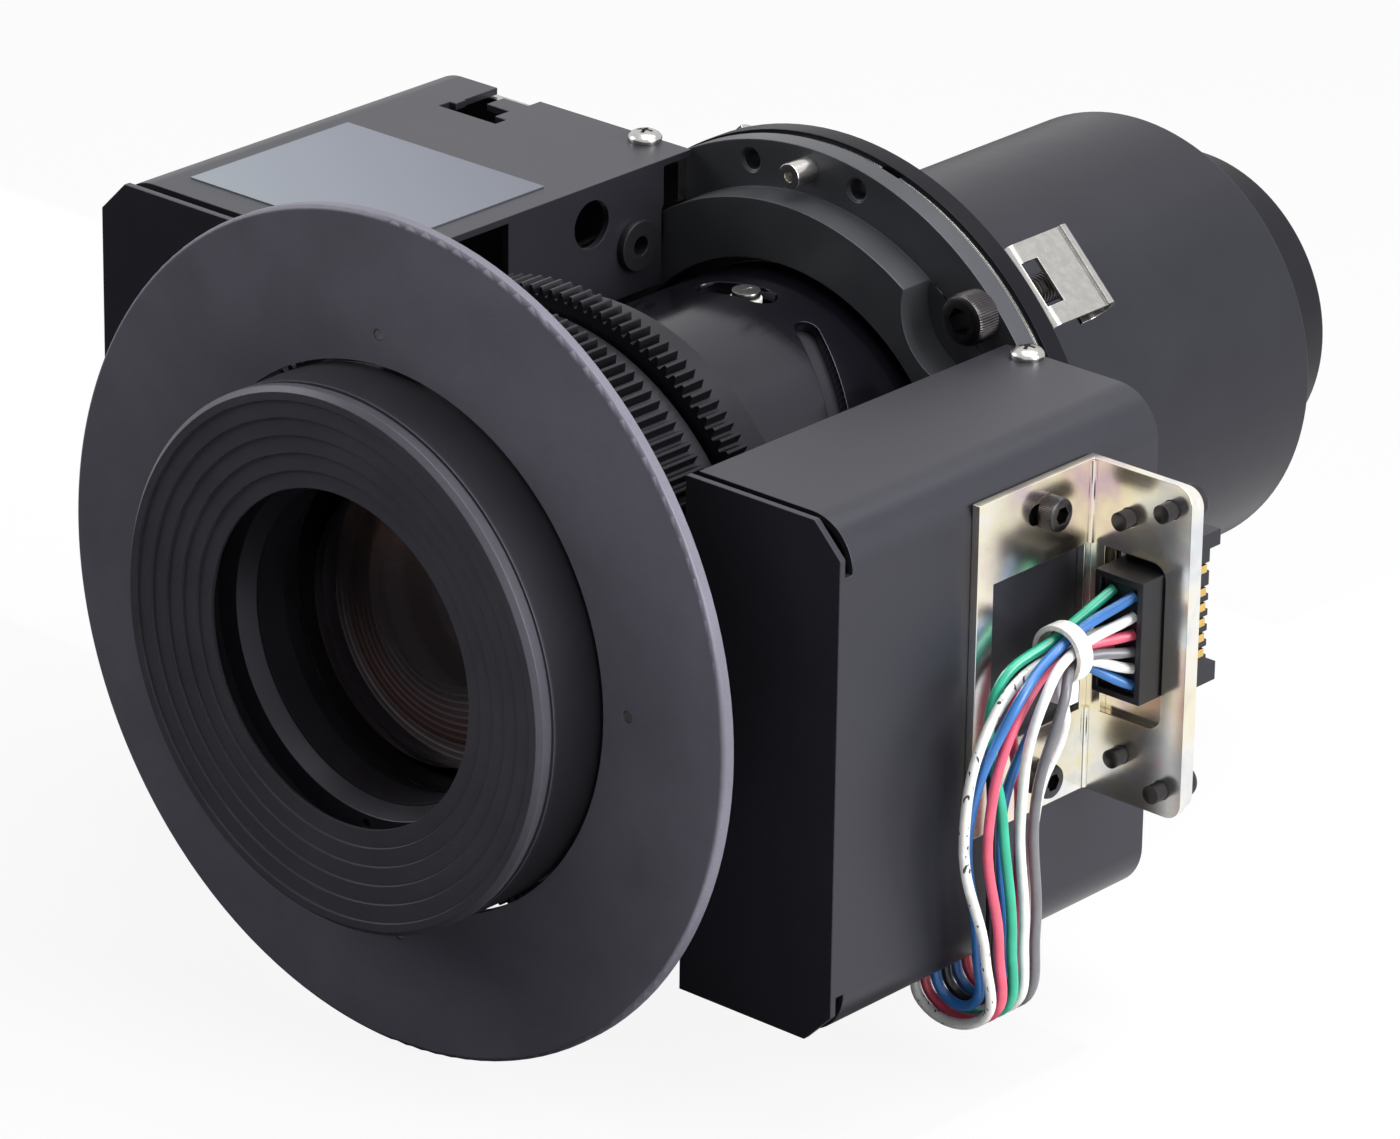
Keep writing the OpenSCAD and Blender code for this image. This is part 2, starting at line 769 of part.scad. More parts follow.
module guide_tube() {
    slot_half_len = hood_travel + focus_pin_r + hole_gap;
    color(dark_grey) difference() {
        union() {
            rod(guide_front, collar_rear, guide_r);
            rod(collar_front, collar_rear, collar_r);
            rod(collar_front, flange_rear, guide_tail_r);
            for (k = [0 : disc_screws_count - 1])
                rotate([0, -disc_screw_angle - 360 * k / disc_screws_count, 0]) {
                    block(guide_r - over, lug_r, lug_front, lug_rear, -lug_w / 2, lug_w / 2);
                    block(pad_in_r, lug_r, disc_rear, lug_rear, -lug_w / 2, lug_w / 2);
                }
        }
        rod(guide_front - over, collar_front, guide_bore_r);
        rod(collar_front - over, flange_rear + over, guide_tail_bore_r);
        for (k = [0 : disc_screws_count - 1])
            around(disc_screw_angle + 360 * k / disc_screws_count, disc_screw_circle_r)
                rod(disc_rear - over, lug_rear + over, disc_screw_r + fit_gap);
        for (a = focus_pin_angles)
            rotate([0, -a, 0]) translate([0, focus_pin_y, 0]) {
                for (s = [-1, 1])
                    translate([0, s * hood_travel, 0])
                        radial_rod(guide_bore_r - over, guide_r + over, focus_pin_r + hole_gap);
                block(guide_bore_r - over, guide_r + over, -hood_travel, hood_travel,
                    -focus_pin_r - hole_gap, focus_pin_r + hole_gap);
            }
        for (k = [0 : roller_count - 1])
            rotate([0, -roller_angle - 360 * k / roller_count, 0]) translate([0, roller_y, 0]) {
                for (s = [-1, 1])
                    translate([0, s * zoom_travel, 0])
                        radial_rod(guide_tail_bore_r - over, guide_tail_r + over, guide_slot_half);
                block(guide_tail_bore_r - over, guide_tail_r + over, -zoom_travel, zoom_travel,
                    -guide_slot_half, guide_slot_half);
            }
    }
}

// Cam barrel, zoom gear ring and the group that the cam moves

module slot_cut(a_low, a_high, slope, half) {
    steps = ceil((a_high - a_low) / slot_step);
    for (i = [0 : steps]) {
        a = a_low + (a_high - a_low) * i / steps;
        rotate([0, -a, 0]) translate([0, slope * (a_high - a), 0])
            radial_rod(guide_tail_r - over, barrel_r + over, half);
    }
}

module cam_barrel() {
    color(black_coat) difference() {
        tube(barrel_front, barrel_rear, barrel_r, guide_tail_r + slide_gap);
        for (k = [0 : roller_count - 1])
            rotate([0, -360 * k / roller_count, 0])
                translate([0, roller_y - roller_slope * (roller_slot_high - roller_angle), 0])
                    slot_cut(roller_slot_low, roller_slot_high, roller_slope, slot_half);
        translate([0, free_slot_y - free_slot_slope * (free_slot_high - free_slot_low), 0])
            mirror([0, 1, 0])
                translate([0, -free_slot_slope * (free_slot_high - free_slot_low), 0])
                    slot_cut(free_slot_low, free_slot_high, free_slot_slope, free_slot_half);
    }
}

module zoom_gear_ring() {
    color(black_coat) difference() {
        union() {
            extrude_y(zoom_gear_front, zoom_gear_front + zoom_gear_w)
                rotate(zoom_pinion_angle) gear_outline(zoom_teeth, 1);
            rod(zoom_gear_front + zoom_gear_w, zoom_gear_front + zoom_gear_w + zoom_shoulder_w,
                zoom_shoulder_r);
        }
        rod(zoom_gear_front - over, zoom_gear_front + zoom_gear_w + zoom_shoulder_w + over,
            barrel_r + fit_gap);
    }
}

module barrel_washers() {
    color(nylon) {
        tube(collar_rear + fit_gap, barrel_front - fit_gap, barrel_r, guide_tail_r + fit_gap);
        tube(barrel_rear + fit_gap, bore_step - fit_gap, barrel_r, guide_tail_r + fit_gap);
    }
}

module cam_rollers() {
    color(nylon) for (k = [0 : roller_count - 1])
        rotate([0, -roller_angle - 360 * k / roller_count, 0]) translate([0, roller_y, 0])
            difference() {
                radial_rod(zoom_cell_r + roller_base_gap, barrel_r - roller_sink, roller_r);
                radial_rod(zoom_cell_r, barrel_r + over, roller_pin_r + fit_gap);
            }
}

module roller_screws() {
    color(steel) for (k = [0 : roller_count - 1])
        rotate([0, -roller_angle - 360 * k / roller_count, 0]) translate([0, roller_y, 0])
            difference() {
                union() {
                    radial_rod(zoom_cell_r - zoom_cell_lip_t, barrel_r - roller_sink,
                        roller_pin_r);
                    radial_rod(barrel_r - roller_sink,
                        barrel_r - roller_sink + roller_head_h, roller_head_r);
                }
                translate([barrel_r - roller_sink + roller_head_h / 2, -roller_pin_r, -fit_gap * 4])
                    cube([over, 2 * roller_pin_r, fit_gap * 8]);
            }
}

module zoom_cell() {
    front = roller_y - zoom_cell_t / 2;
    color(dark_grey) difference() {
        rod(front, front + zoom_cell_t, zoom_cell_r);
        rod(front - over, front + zoom_cell_t + over, zoom_cell_lip_r);
        rod(front + zoom_cell_lip_t, front + zoom_cell_t + over, zoom_lens_r);
        for (k = [0 : roller_count - 1])
            rotate([0, -roller_angle - 360 * k / roller_count, 0]) translate([0, roller_y, 0])
                radial_rod(zoom_lens_r, zoom_cell_r + over, roller_pin_r + fit_gap);
    }
}

module zoom_lens() {
    front = roller_y - zoom_cell_t / 2 + zoom_cell_lip_t;
    color(glass) lens(front, front + zoom_lens_t, zoom_lens_r - fit_gap,
        front + zoom_lens_sphere_r, zoom_lens_sphere_r);
}

// Mounting flange, shims and back plate

module mount_flange() {
    color(dark_grey) difference() {
        union() {
            rod(flange_front, flange_rear, rim_r);
            rod(boss_front, flange_front + over, boss_r);
        }
        rod(boss_front - over, bore_step, boss_bore_r);
        rod(boss_front, flange_rear + over, guide_tail_r + fit_gap);
        for (k = [0 : 3])
            around(stud_angle + 90 * k, bolt_circle_r) {
                rod(boss_front - over, flange_front, scallop_r);
                rod(flange_front - over, flange_rear + over, stud_hole_r);
            }
        for (a = post_angles)
            around(a, bolt_circle_r)
                rod(flange_front - over, flange_rear + over, post_shank_r + fit_gap);
        for (a = tap_angles)
            around(a, bolt_circle_r) {
                rod(flange_front - over, flange_rear + over, tap_r);
                translate([0, flange_front - over, 0]) rotate([-90, 0, 0])
                    cylinder(h = tap_mouth_depth + over, r = tap_mouth_r);
            }
        for (a = right_standoff_angles)
            around(a, bolt_circle_r)
                rod(flange_front - over, flange_rear + over, standoff_pin_r + fit_gap);
        for (a = left_standoff_angles)
            around(a, bolt_circle_r)
                rod(flange_front - over, flange_rear + over, standoff_pin_r + fit_gap);
    }
}

module flange_shims() {
    layer_t = shim_t / 2;
    segment = 360 / shim_count - shim_gap_angle;
    color(steel) for (layer = [0, 1]) for (k = [0 : shim_count - 1])
        difference() {
            translate([0, flange_rear + layer * layer_t + shim_split, 0]) rotate([-90, 0, 0])
                rotate([0, 0, -shim_phase - 360 * k / shim_count - segment / 2])
                    rotate_extrude(angle = segment)
                        translate([shim_in_r, 0]) square([shim_r - shim_in_r, layer_t - 2 * shim_split]);
            for (m = [0 : 3])
                around(stud_angle + 90 * m, bolt_circle_r)
                    rod(flange_rear - over, plate_front + over, stud_hole_r + fit_gap);
        }
}

module back_plate() {
    color(black_coat) difference() {
        rod(plate_front, 0, plate_r);
        rod(plate_front - over, over, tail_web_r);
        for (k = [0 : 3])
            around(stud_angle + 90 * k, bolt_circle_r) rod(plate_front - over, over, stud_hole_r);
        for (k = [0 : barrel_screw_count - 1])
            around(360 * k / barrel_screw_count, barrel_screw_circle_r) {
                rod(plate_front - over, over, barrel_screw_r + hole_gap);
                rod(plate_front - over, plate_front + barrel_screw_counterbore,
                    barrel_screw_head_r + hole_gap);
            }
    }
}

module socket_screw(y_head, head_h, head_r, shank_r, y_end, hex_r, hex_depth) {
    difference() {
        union() {
            rod(y_head, y_head + head_h, head_r);
            rod(y_head + head_h, y_end, shank_r);
        }
        translate([0, y_head - over, 0]) rotate([-90, 0, 0])
            cylinder(h = hex_depth + over, r = hex_r, $fn = 6);
    }
}

module flange_screws() {
    color(mid_grey) for (k = [0 : 3])
        around(stud_angle + 90 * k, bolt_circle_r)
            socket_screw(flange_front - head_h, head_h, head_r, stud_r, stud_reach, hex_r, hex_depth);
}

module locating_posts() {
    color(steel) for (a = post_angles)
        around(a, bolt_circle_r) difference() {
            union() {
                rod(flange_front - post_h, flange_front, post_r);
                rod(flange_front, flange_rear - post_shank_gap, post_shank_r);
            }
            rod(flange_front - post_h - over, flange_front - post_h + post_hole_depth, post_hole_r);
        }
}

// The strip's side view: foot, bend, wall, rolled end and flap
module clip_outline() {
    roll_x = plate_r + clip_bulge - clip_roll_r;
    roll_y = clip_h - clip_roll_r;
    translate([plate_r - clip_foot, 0]) square([clip_foot - clip_bend_r, clip_t]);
    translate([plate_r - clip_bend_r, clip_bend_r]) difference() {
        circle(r = clip_bend_r);
        circle(r = clip_bend_r - clip_t);
        translate([-clip_bend_r, 0]) square([2 * clip_bend_r, clip_bend_r]);
        translate([-clip_bend_r, -clip_bend_r]) square([clip_bend_r, clip_bend_r]);
    }
    translate([plate_r - clip_t, clip_bend_r]) square([clip_t, roll_y - clip_bend_r]);
    translate([roll_x, roll_y]) difference() {
        circle(r = clip_roll_r);
        circle(r = clip_roll_r - clip_t);
        translate([-clip_roll_r, -clip_roll_r]) square([2 * clip_roll_r, clip_roll_r]);
    }
    translate([roll_x - clip_roll_r, roll_y - clip_flap]) square([clip_t, clip_flap]);
}

module stud_clips() {
    color(steel) for (k = [0 : 3])
        rotate([0, -stud_angle - 90 * k, 0]) difference() {
            translate([0, 0, -clip_w / 2]) linear_extrude(height = clip_w) clip_outline();
            translate([bolt_circle_r, 0, 0]) rod(-over, clip_t + over, stud_hole_r);
            block(plate_r - clip_t - over, plate_r + over, clip_window_at,
                clip_window_at + clip_window_h, -clip_window_w / 2, clip_window_w / 2);
        }
}

module barrel_screws() {
    head_front = plate_front + barrel_screw_counterbore - barrel_screw_head_h;
    color(mid_grey) for (k = [0 : barrel_screw_count - 1])
        around(360 * k / barrel_screw_count, barrel_screw_circle_r)
            socket_screw(head_front, barrel_screw_head_h, barrel_screw_head_r, barrel_screw_r,
                head_front + barrel_screw_len, screw_m3_hex_r, barrel_screw_head_h / 2);
}

// Rear barrel and rear optics

module rear_barrel() {
    color(dark_grey) difference() {
        union() {
            rod(0, tail_len - tail_chamfer, tail_r);
            translate([0, tail_len - tail_chamfer, 0]) rotate([-90, 0, 0])
                cylinder(h = tail_chamfer, r1 = tail_r, r2 = tail_r - tail_chamfer);
        }
        rod(tail_web_t, tail_len - tail_end_t, tail_r - tail_wall);
        rod(-over, tail_web_t + over, tail_web_r);
        rod(tail_len - tail_end_t - over, tail_len + over, tail_bore_r);
        for (k = [0 : barrel_screw_count - 1])
            around(360 * k / barrel_screw_count, barrel_screw_circle_r)
                rod(-over, tail_web_t + over, barrel_screw_r + fit_gap);
    }
}

module rear_ring() {
    back = tail_len + rear_ring_reach;
    seat_back = back - rear_seat_at;
    color(black_coat) difference() {
        union() {
            rod(tail_len - rear_ring_hidden, back - rear_ring_chamfer, rear_ring_r);
            translate([0, back - rear_ring_chamfer, 0]) rotate([-90, 0, 0])
                cylinder(h = rear_ring_chamfer, r1 = rear_ring_r, r2 = rear_ring_r - rear_ring_chamfer);
        }
        rod(tail_len - rear_ring_hidden - over, back + over, rear_seat_r);
        rod(tail_len - rear_ring_hidden - over, seat_back - rear_seat_t, rear_ring_bore_r);
        rod(seat_back, back + over, rear_ring_bore_r);
    }
}

module rear_lens() {
    seat_back = tail_len + rear_ring_reach - rear_seat_at;
    color(glass) lens(seat_back, seat_back + rear_lens_t, rear_ring_bore_r - fit_gap,
        seat_back + rear_lens_t - rear_lens_sphere_r, rear_lens_sphere_r);
}

module rear_retainer() {
    seat_back = tail_len + rear_ring_reach - rear_seat_at;
    color(black_coat) tube(seat_back + rear_lens_t, seat_back + rear_lens_t + rear_retainer_t,
        rear_ring_bore_r - fit_gap, rear_retainer_r);
}

// Sheet metal covers of the two drives

module cover_shell(x_in, low_in, x_out, z_low, z_top, cover_len, relief) {
    front = cover_rear - cover_len;
    difference() {
        cover_sheets(x_in, x_out, z_low, z_top, front, relief);
        block(x_in - over, low_in, front - over, cover_rear + over, z_low - over, 0);
    }
}

module cover_sheets(x_in, x_out, z_low, z_top, front, relief) {
    extrude_y(front + relief, cover_rear) difference() {
        rounded_side(x_in, x_out, z_low, z_top, bend_r);
        rounded_side(x_in - over, x_out - sheet_t, z_low + sheet_t, z_top - sheet_t,
            bend_r - sheet_t);
    }
    block(x_out - sheet_t, x_out, front, front + relief + over, z_low + bend_r, z_top - bend_r);
    extrude_y(front, front + sheet_t) difference() {
        polygon([[x_in, z_low - front_plate_lap], [x_out - front_chamfer, z_low - front_plate_lap],
            [x_out, z_low - front_plate_lap + front_chamfer],
            [x_out, z_top + front_plate_lap - front_chamfer],
            [x_out - front_chamfer, z_top + front_plate_lap], [x_in, z_top + front_plate_lap]]);
        circle(r = gear_clear_r);
    }
}

module stud_relief() {
    for (k = [0 : 3])
        around(stud_angle + 90 * k, bolt_circle_r)
            rod(flange_front - head_h - over, flange_front + over, head_r + over);
}

module right_cover() {
    front = cover_rear - right_cover_len;
    color(black_coat) difference() {
        cover_shell(right_cover_in, right_cover_in, right_cover_out, right_cover_low,
            right_cover_top, right_cover_len, right_relief);
        stud_relief();
        block(right_cover_out - sheet_t - over, right_cover_out + over, front + sheet_t,
            front + right_relief, right_cover_low + side_slot_up,
            right_cover_low + side_slot_up + side_slot_h);
        translate([right_screw_x, cover_rear - cover_screw_in, right_cover_low - over])
            cylinder(h = cover_h + 2 * over, r = cover_screw_r + hole_gap);
        for (s = [-1, 1])
            translate([0, bracket_screw_y, s * bracket_screw_z])
                radial_rod(right_cover_out - sheet_t - over, right_cover_out + over,
                    screw_m3_r + hole_gap);
        block(wire_hole_in, wire_hole_out, wire_hole_front, wire_hole_rear,
            right_cover_low - over, right_cover_low + bend_r / 2);
    }
}

module left_cover() {
    wall_front = motor_plate_front + inner_wall_front_gap;
    wall_rear = boss_front - inner_wall_rear_gap;
    color(black_coat) mirror([1, 0, 0]) difference() {
        union() {
            cover_shell(left_cover_in, left_cover_low_in, left_cover_out, left_cover_low,
                left_cover_top, left_cover_len, left_relief);
            block(left_cover_in, left_cover_in + sheet_t, wall_front, wall_rear,
                inner_wall_low, left_cover_top);
        }
        stud_relief();
        rod(boss_front - over, cover_rear + over, frame_hole_r);
        translate([left_screw_x, cover_rear - cover_screw_in, 0])
            cylinder(h = left_cover_top + over, r = cover_screw_r + hole_gap);
        translate([left_low_screw_x, cover_rear - cover_screw_in, left_cover_low - over])
            cylinder(h = sheet_t + 2 * over, r = cover_screw_r + hole_gap);
        translate([0, peep_hole_y, peep_hole_z])
            radial_rod(left_cover_in - over, left_cover_in + sheet_t + over, peep_hole_r);
        translate([0, grommet_y, grommet_z])
            radial_rod(left_cover_in - over, left_cover_in + sheet_t + over,
                grommet_neck_r + fit_gap);
        translate([0, 0, left_cover_top - sheet_t - over]) linear_extrude(height = sheet_t + 2 * over) {
            translate([notch_bar_in, notch_bar_front])
                square([notch_bar_out - notch_bar_in, notch_bar_rear - notch_bar_front]);
            translate([notch_mid_in, notch_bar_rear - over])
                square([notch_mid_out - notch_mid_in, notch_mid_rear - notch_bar_rear + over]);
            translate([notch_stem_in, notch_mid_rear - over])
                square([notch_stem_out - notch_stem_in, cover_rear - notch_mid_rear + 2 * over]);
            translate([notch_edge_in, notch_edge_y])
                square([notch_stem_out - notch_edge_in, cover_rear - notch_edge_y + over]);
        }
    }
}

module pan_screw() {
    difference() {
        union() {
            translate([0, 0, -cover_screw_len]) cylinder(h = cover_screw_len, r = cover_screw_r);
            cylinder(h = cover_screw_head_h / 2, r = cover_screw_head_r);
            translate([0, 0, cover_screw_head_h / 2])
                cylinder(h = cover_screw_head_h / 2, r1 = cover_screw_head_r, r2 = cover_screw_r);
        }
        for (a = [0, 90])
            rotate([0, 0, a]) translate([-cover_screw_r, -hole_gap, cover_screw_head_h / 2])
                cube([2 * cover_screw_r, 2 * hole_gap, over]);
    }
}

module cover_screws() {
    y = cover_rear - cover_screw_in;
    color(steel) {
        translate([right_screw_x, y, right_cover_top]) pan_screw();
        translate([right_screw_x, y, right_cover_low]) mirror([0, 0, 1]) pan_screw();
        translate([-left_screw_x, y, left_cover_top]) pan_screw();
        translate([-left_low_screw_x, y, left_cover_low]) mirror([0, 0, 1]) pan_screw();
    }
}

module label_plate() {
    color("silver") block(-label_out, -label_in, label_front, label_rear,
        left_cover_top, left_cover_top + label_t);
}

module wall_grommet() {
    color(black_coat) mirror([1, 0, 0]) translate([0, grommet_y, grommet_z]) difference() {
        union() {
            radial_rod(left_cover_in - grommet_t, left_cover_in, grommet_r);
            radial_rod(left_cover_in - grommet_t, left_cover_in + sheet_t, grommet_neck_r);
            radial_rod(left_cover_in + sheet_t, left_cover_in + sheet_t + grommet_t, grommet_r);
        }
        radial_rod(left_cover_in - grommet_t - over, left_cover_in + sheet_t + grommet_t + over,
            grommet_neck_r - grommet_t);
    }
}

// Frames that hold the covers on the flange, and the motor plates

module frame_plate(x_in, x_out, z_low, z_top, angles, outer, screw_top, screw_low) {
    inset = sheet_t + frame_gap;
    inner_r = bend_r - inset;
    difference() {
        union() {
            extrude_y(frame_front, flange_front) difference() {
                rounded_side(x_in + frame_gap, x_out - inset, z_low + inset, z_top - inset, inner_r);
                circle(r = frame_hole_r);
            }
            block(screw_top - tab_w / 2, screw_top + tab_w / 2, frame_front - tab_len, flange_front,
                z_top - sheet_t - tab_t, z_top - sheet_t);
            block(screw_low - tab_w / 2, screw_low + tab_w / 2, frame_front - tab_len, flange_front,
                z_low + sheet_t, z_low + sheet_t + tab_t);
        }
        for (a = angles)
            around(a, bolt_circle_r)
                rod(frame_front - over, flange_front + over, standoff_pin_r + fit_gap);
        translate([outer[0], 0, outer[1]])
            rod(frame_front - over, flange_front + over, standoff_pin_r + fit_gap);
        translate([screw_top, cover_rear - cover_screw_in, z_top - cover_screw_len - over])
            cylinder(h = cover_screw_len + over, r = cover_screw_r + fit_gap);
        translate([screw_low, cover_rear - cover_screw_in, z_low])
            cylinder(h = cover_screw_len + over, r = cover_screw_r + fit_gap);
        stud_relief();
        block(x_in - over, stud_clear_x, frame_front - over, flange_front + over, z_low - over, 0);
    }
}

module right_frame() {
    color(steel) frame_plate(right_cover_in, right_cover_out, right_cover_low, right_cover_top,
        right_standoff_angles, right_outer_standoff, right_screw_x, right_screw_x);
}

module left_frame() {
    color(steel) mirror([1, 0, 0])
        frame_plate(left_cover_in + sheet_t, left_cover_out, left_cover_low, left_cover_top,
            [for (a = left_standoff_angles) 180 - a], left_outer_standoff, left_screw_x,
            left_low_screw_x);
}

module motor_plate(x_out, z_low, z_top, angles, outer, centre_angle, centre_r) {
    inset = sheet_t + motor_plate_gap;
    difference() {
        extrude_y(motor_plate_front, motor_plate_rear) difference() {
            rounded_side(motor_plate_in, x_out - inset, z_low + inset, z_top - inset, bend_r - inset);
            circle(r = shoulder_clear_r);
        }
        around(centre_angle, centre_r)
            rod(motor_plate_front - over, motor_plate_rear + over, gearbox_boss_r + hole_gap);
        for (a = angles)
            around(a, bolt_circle_r)
                rod(motor_plate_front - over, motor_plate_rear + over, standoff_pin_r + fit_gap);
        translate([outer[0], 0, outer[1]])
            rod(motor_plate_front - over, motor_plate_rear + over, standoff_pin_r + fit_gap);
    }
}

module right_motor_plate() {
    color(steel) motor_plate(right_cover_out, right_plate_low, right_cover_top,
        right_standoff_angles, right_outer_standoff, focus_pinion_angle, focus_centre_r);
}

module left_motor_plate() {
    color(steel) mirror([1, 0, 0])
        motor_plate(left_cover_out, left_cover_low, left_cover_top,
            [for (a = left_standoff_angles) 180 - a], left_outer_standoff,
            180 - zoom_pinion_angle, zoom_centre_r);
}

module standoff(back) {
    rod(motor_plate_rear, frame_front, standoff_r);
    rod(motor_plate_front, motor_plate_rear + over, standoff_pin_r);
    rod(frame_front - over, frame_front + back, standoff_pin_r);
}

module standoffs() {
    color(steel) {
        for (a = right_standoff_angles) around(a, bolt_circle_r) standoff(frame_t + standoff_pin_len);
        for (a = left_standoff_angles) around(a, bolt_circle_r) standoff(frame_t + standoff_pin_len);
        translate([right_outer_standoff[0], 0, right_outer_standoff[1]]) standoff(frame_t);
        translate([-left_outer_standoff[0], 0, left_outer_standoff[1]]) standoff(frame_t);
    }
}

module gearbox() {
    difference() {
        union() {
            rod(motor_plate_rear, motor_plate_rear + gearbox_len, gearbox_r);
            rod(motor_plate_front, motor_plate_rear + over, gearbox_boss_r);
        }
        rod(motor_plate_front - over, motor_plate_rear + shaft_seat + part_gap, shaft_r + slide_gap);
    }
}

module motor() {
    front = motor_plate_rear + gearbox_len;
    rod(front, front + motor_len, motor_r);
    rod(front + motor_len - over, front + motor_len + motor_cap_h, motor_cap_r);
}

module pinion(y0, w) {
    difference() {
        union() {
            extrude_y(y0, y0 + w) rotate(180 + 180 / pinion_teeth)
                gear_outline(pinion_teeth, root_share);
            rod(y0, motor_plate_rear + shaft_seat, shaft_r);
        }
    }
}

module focus_gearbox() {
    color(mid_grey) around(focus_pinion_angle, focus_centre_r) gearbox();
}

module focus_motor() {
    color(steel) around(focus_pinion_angle, focus_centre_r) motor();
}

module focus_pinion() {
    color(gold) around(focus_pinion_angle, focus_centre_r)
        pinion(focus_rear - focus_pinion_inset - focus_pinion_w, focus_pinion_w);
}

module zoom_gearbox() {
    color(mid_grey) around(zoom_pinion_angle, zoom_centre_r) gearbox();
}

module zoom_motor() {
    color(steel) around(zoom_pinion_angle, zoom_centre_r) motor();
}

module zoom_pinion() {
    color(gold) around(zoom_pinion_angle, zoom_centre_r)
        pinion(zoom_gear_front - pinion_overhang, zoom_gear_w + 2 * pinion_overhang);
}

module limit_switch(x0, z0) {
    block(x0, x0 + switch_x, motor_plate_front - switch_y, motor_plate_front, z0, z0 + switch_z);
    block(x0 + lever_t, x0 + switch_x - lever_t, motor_plate_front - switch_y - lever_t,
        motor_plate_front - switch_y, z0 + lever_t, z0 + switch_z - lever_t);
}

module limit_switches() {
    color(black_coat) {
        limit_switch(right_switch_in, right_switch_low);
        limit_switch(-left_switch_in - switch_x, left_switch_low - switch_z);
    }
}

// Terminal board under the focus motor

module terminal_board() {
    color(board_green) difference() {
        block(board_in, board_out, board_front, board_rear, board_top - board_t, board_top);
        for (x = [board_in + spacer_margin, board_out - spacer_margin])
            translate([x, board_rear - spacer_margin, board_top - board_t - over])
                cylinder(h = board_t + 2 * over, r = spacer_r / 2);
    }
}

module board_spacers() {
    bottom = right_cover_low + sheet_t;
    color(steel) for (x = [board_in + spacer_margin, board_out - spacer_margin])
        translate([x, board_rear - spacer_margin, bottom])
            cylinder(h = board_top - board_t - bottom, r = spacer_r);
}

module board_socket() {
    top = board_top - board_t;
    color(nylon) block(socket_in, socket_out, wire_hole_front + socket_margin,
        wire_hole_rear - socket_margin,
        top - socket_drop, top);
}

// Zinc plated bracket, connector plate and drawer connector

module corner_plate(x0, x1, z0, z1, r) {
    rounded_side(x0, x1, z0, z1, r);
}

module connector_bracket() {
    foot_front = bracket_rear - bracket_foot;
    half_h = bracket_h / 2;
    half_window = window_h / 2;
    color(zinc) difference() {
        union() {
            block(right_cover_out, bracket_out, foot_front, bracket_rear, -half_h, half_h);
            extrude_y(bracket_front, bracket_rear)
                corner_plate(right_cover_out, bracket_end, -half_h, half_h, bracket_corner_r);
        }
        extrude_y(bracket_front - over, bracket_rear + over)
            corner_plate(window_in, window_out, -half_window, half_window, window_corner_r);
        block(right_cover_out - over, bracket_out + over, foot_front + window_foot_front,
            bracket_front - zinc_t, -half_window, half_window);
        for (s = [-1, 1])
            translate([0, bracket_screw_y, s * bracket_screw_z])
                radial_rod(right_cover_out - over, bracket_out + over, screw_m3_r + hole_gap);
        translate([0, bracket_screw_y - bracket_slot_len, bracket_screw_z])
            radial_rod(right_cover_out - over, bracket_out + over, screw_m3_r + hole_gap);
        block(right_cover_out - over, bracket_out + over, bracket_screw_y - bracket_slot_len,
            bracket_screw_y, bracket_screw_z - screw_m3_r - hole_gap,
            bracket_screw_z + screw_m3_r + hole_gap);
        connector_screw_places() rod(bracket_front - over, bracket_rear + over, screw_m3_r + fit_gap);
    }
}

module connector_screw_places() {
    for (s = [-1, 1]) {
        translate([far_screw_x, 0, s * far_screw_z]) children();
        translate([near_screw_x, 0, s * near_screw_z]) children();
    }
}

module connector_plate() {
    half_h = bracket_h / 2 - plate_trim;
    half_window = window_h / 2;
    color(zinc) difference() {
        extrude_y(bracket_rear, bracket_rear + zinc_t)
            corner_plate(plate_in, bracket_end - fit_gap, -half_h, half_h, bracket_corner_r);
        extrude_y(bracket_rear - over, bracket_rear + zinc_t + over)
            corner_plate(window_in + over, window_out, housing_low - part_gap, half_window,
                plate_window_r);
        connector_screw_places()
            rod(bracket_rear - over, bracket_rear + zinc_t + over, screw_m3_r + hole_gap);
    }
}

module bracket_screws() {
    shank_end = right_cover_out - sheet_t - nut_plate_t - part_gap;
    color(mid_grey) for (s = [-1, 1])
        translate([0, bracket_screw_y, s * bracket_screw_z]) difference() {
            union() {
                radial_rod(bracket_out, bracket_out + screw_m3_head_h, screw_m3_head_r);
                radial_rod(shank_end, bracket_out, screw_m3_r);
            }
            rotate([0, 90, 0])
                translate([0, 0, bracket_out + screw_m3_head_h - screw_m3_hex_depth])
                    cylinder(h = screw_m3_hex_depth + over, r = screw_m3_hex_r, $fn = 6);
        }
}

module bracket_nut_plate() {
    back = right_cover_out - sheet_t;
    color(steel) difference() {
        block(back - nut_plate_t, back, bracket_screw_y - nut_plate_w / 2,
            bracket_screw_y + nut_plate_w / 2, -nut_plate_h / 2, nut_plate_h / 2);
        for (s = [-1, 1])
            translate([0, bracket_screw_y, s * bracket_screw_z])
                radial_rod(back - nut_plate_t - over, back + over, screw_m3_r + fit_gap);
    }
}

module connector_screws() {
    head_front = bracket_rear + zinc_t;
    color(mid_grey) connector_screw_places() difference() {
        union() {
            rod(head_front, head_front + screw_m3_head_h, screw_m3_head_r);
            rod(bracket_front - screw_end_reach, head_front + over, screw_m3_r);
        }
        translate([0, head_front + screw_m3_head_h - screw_m3_hex_depth, 0]) rotate([-90, 0, 0])
            cylinder(h = screw_m3_hex_depth + over, r = screw_m3_hex_r, $fn = 6);
    }
}

module wire_housing() {
    front = bracket_front - housing_front_reach;
    color(black_coat) difference() {
        block(housing_in, housing_out, front, bracket_rear + zinc_t, housing_low, housing_top);
        block(housing_in + housing_wall, housing_out - housing_wall, front - over,
            front + housing_recess, housing_low + housing_wall, housing_top - housing_wall);
    }
}

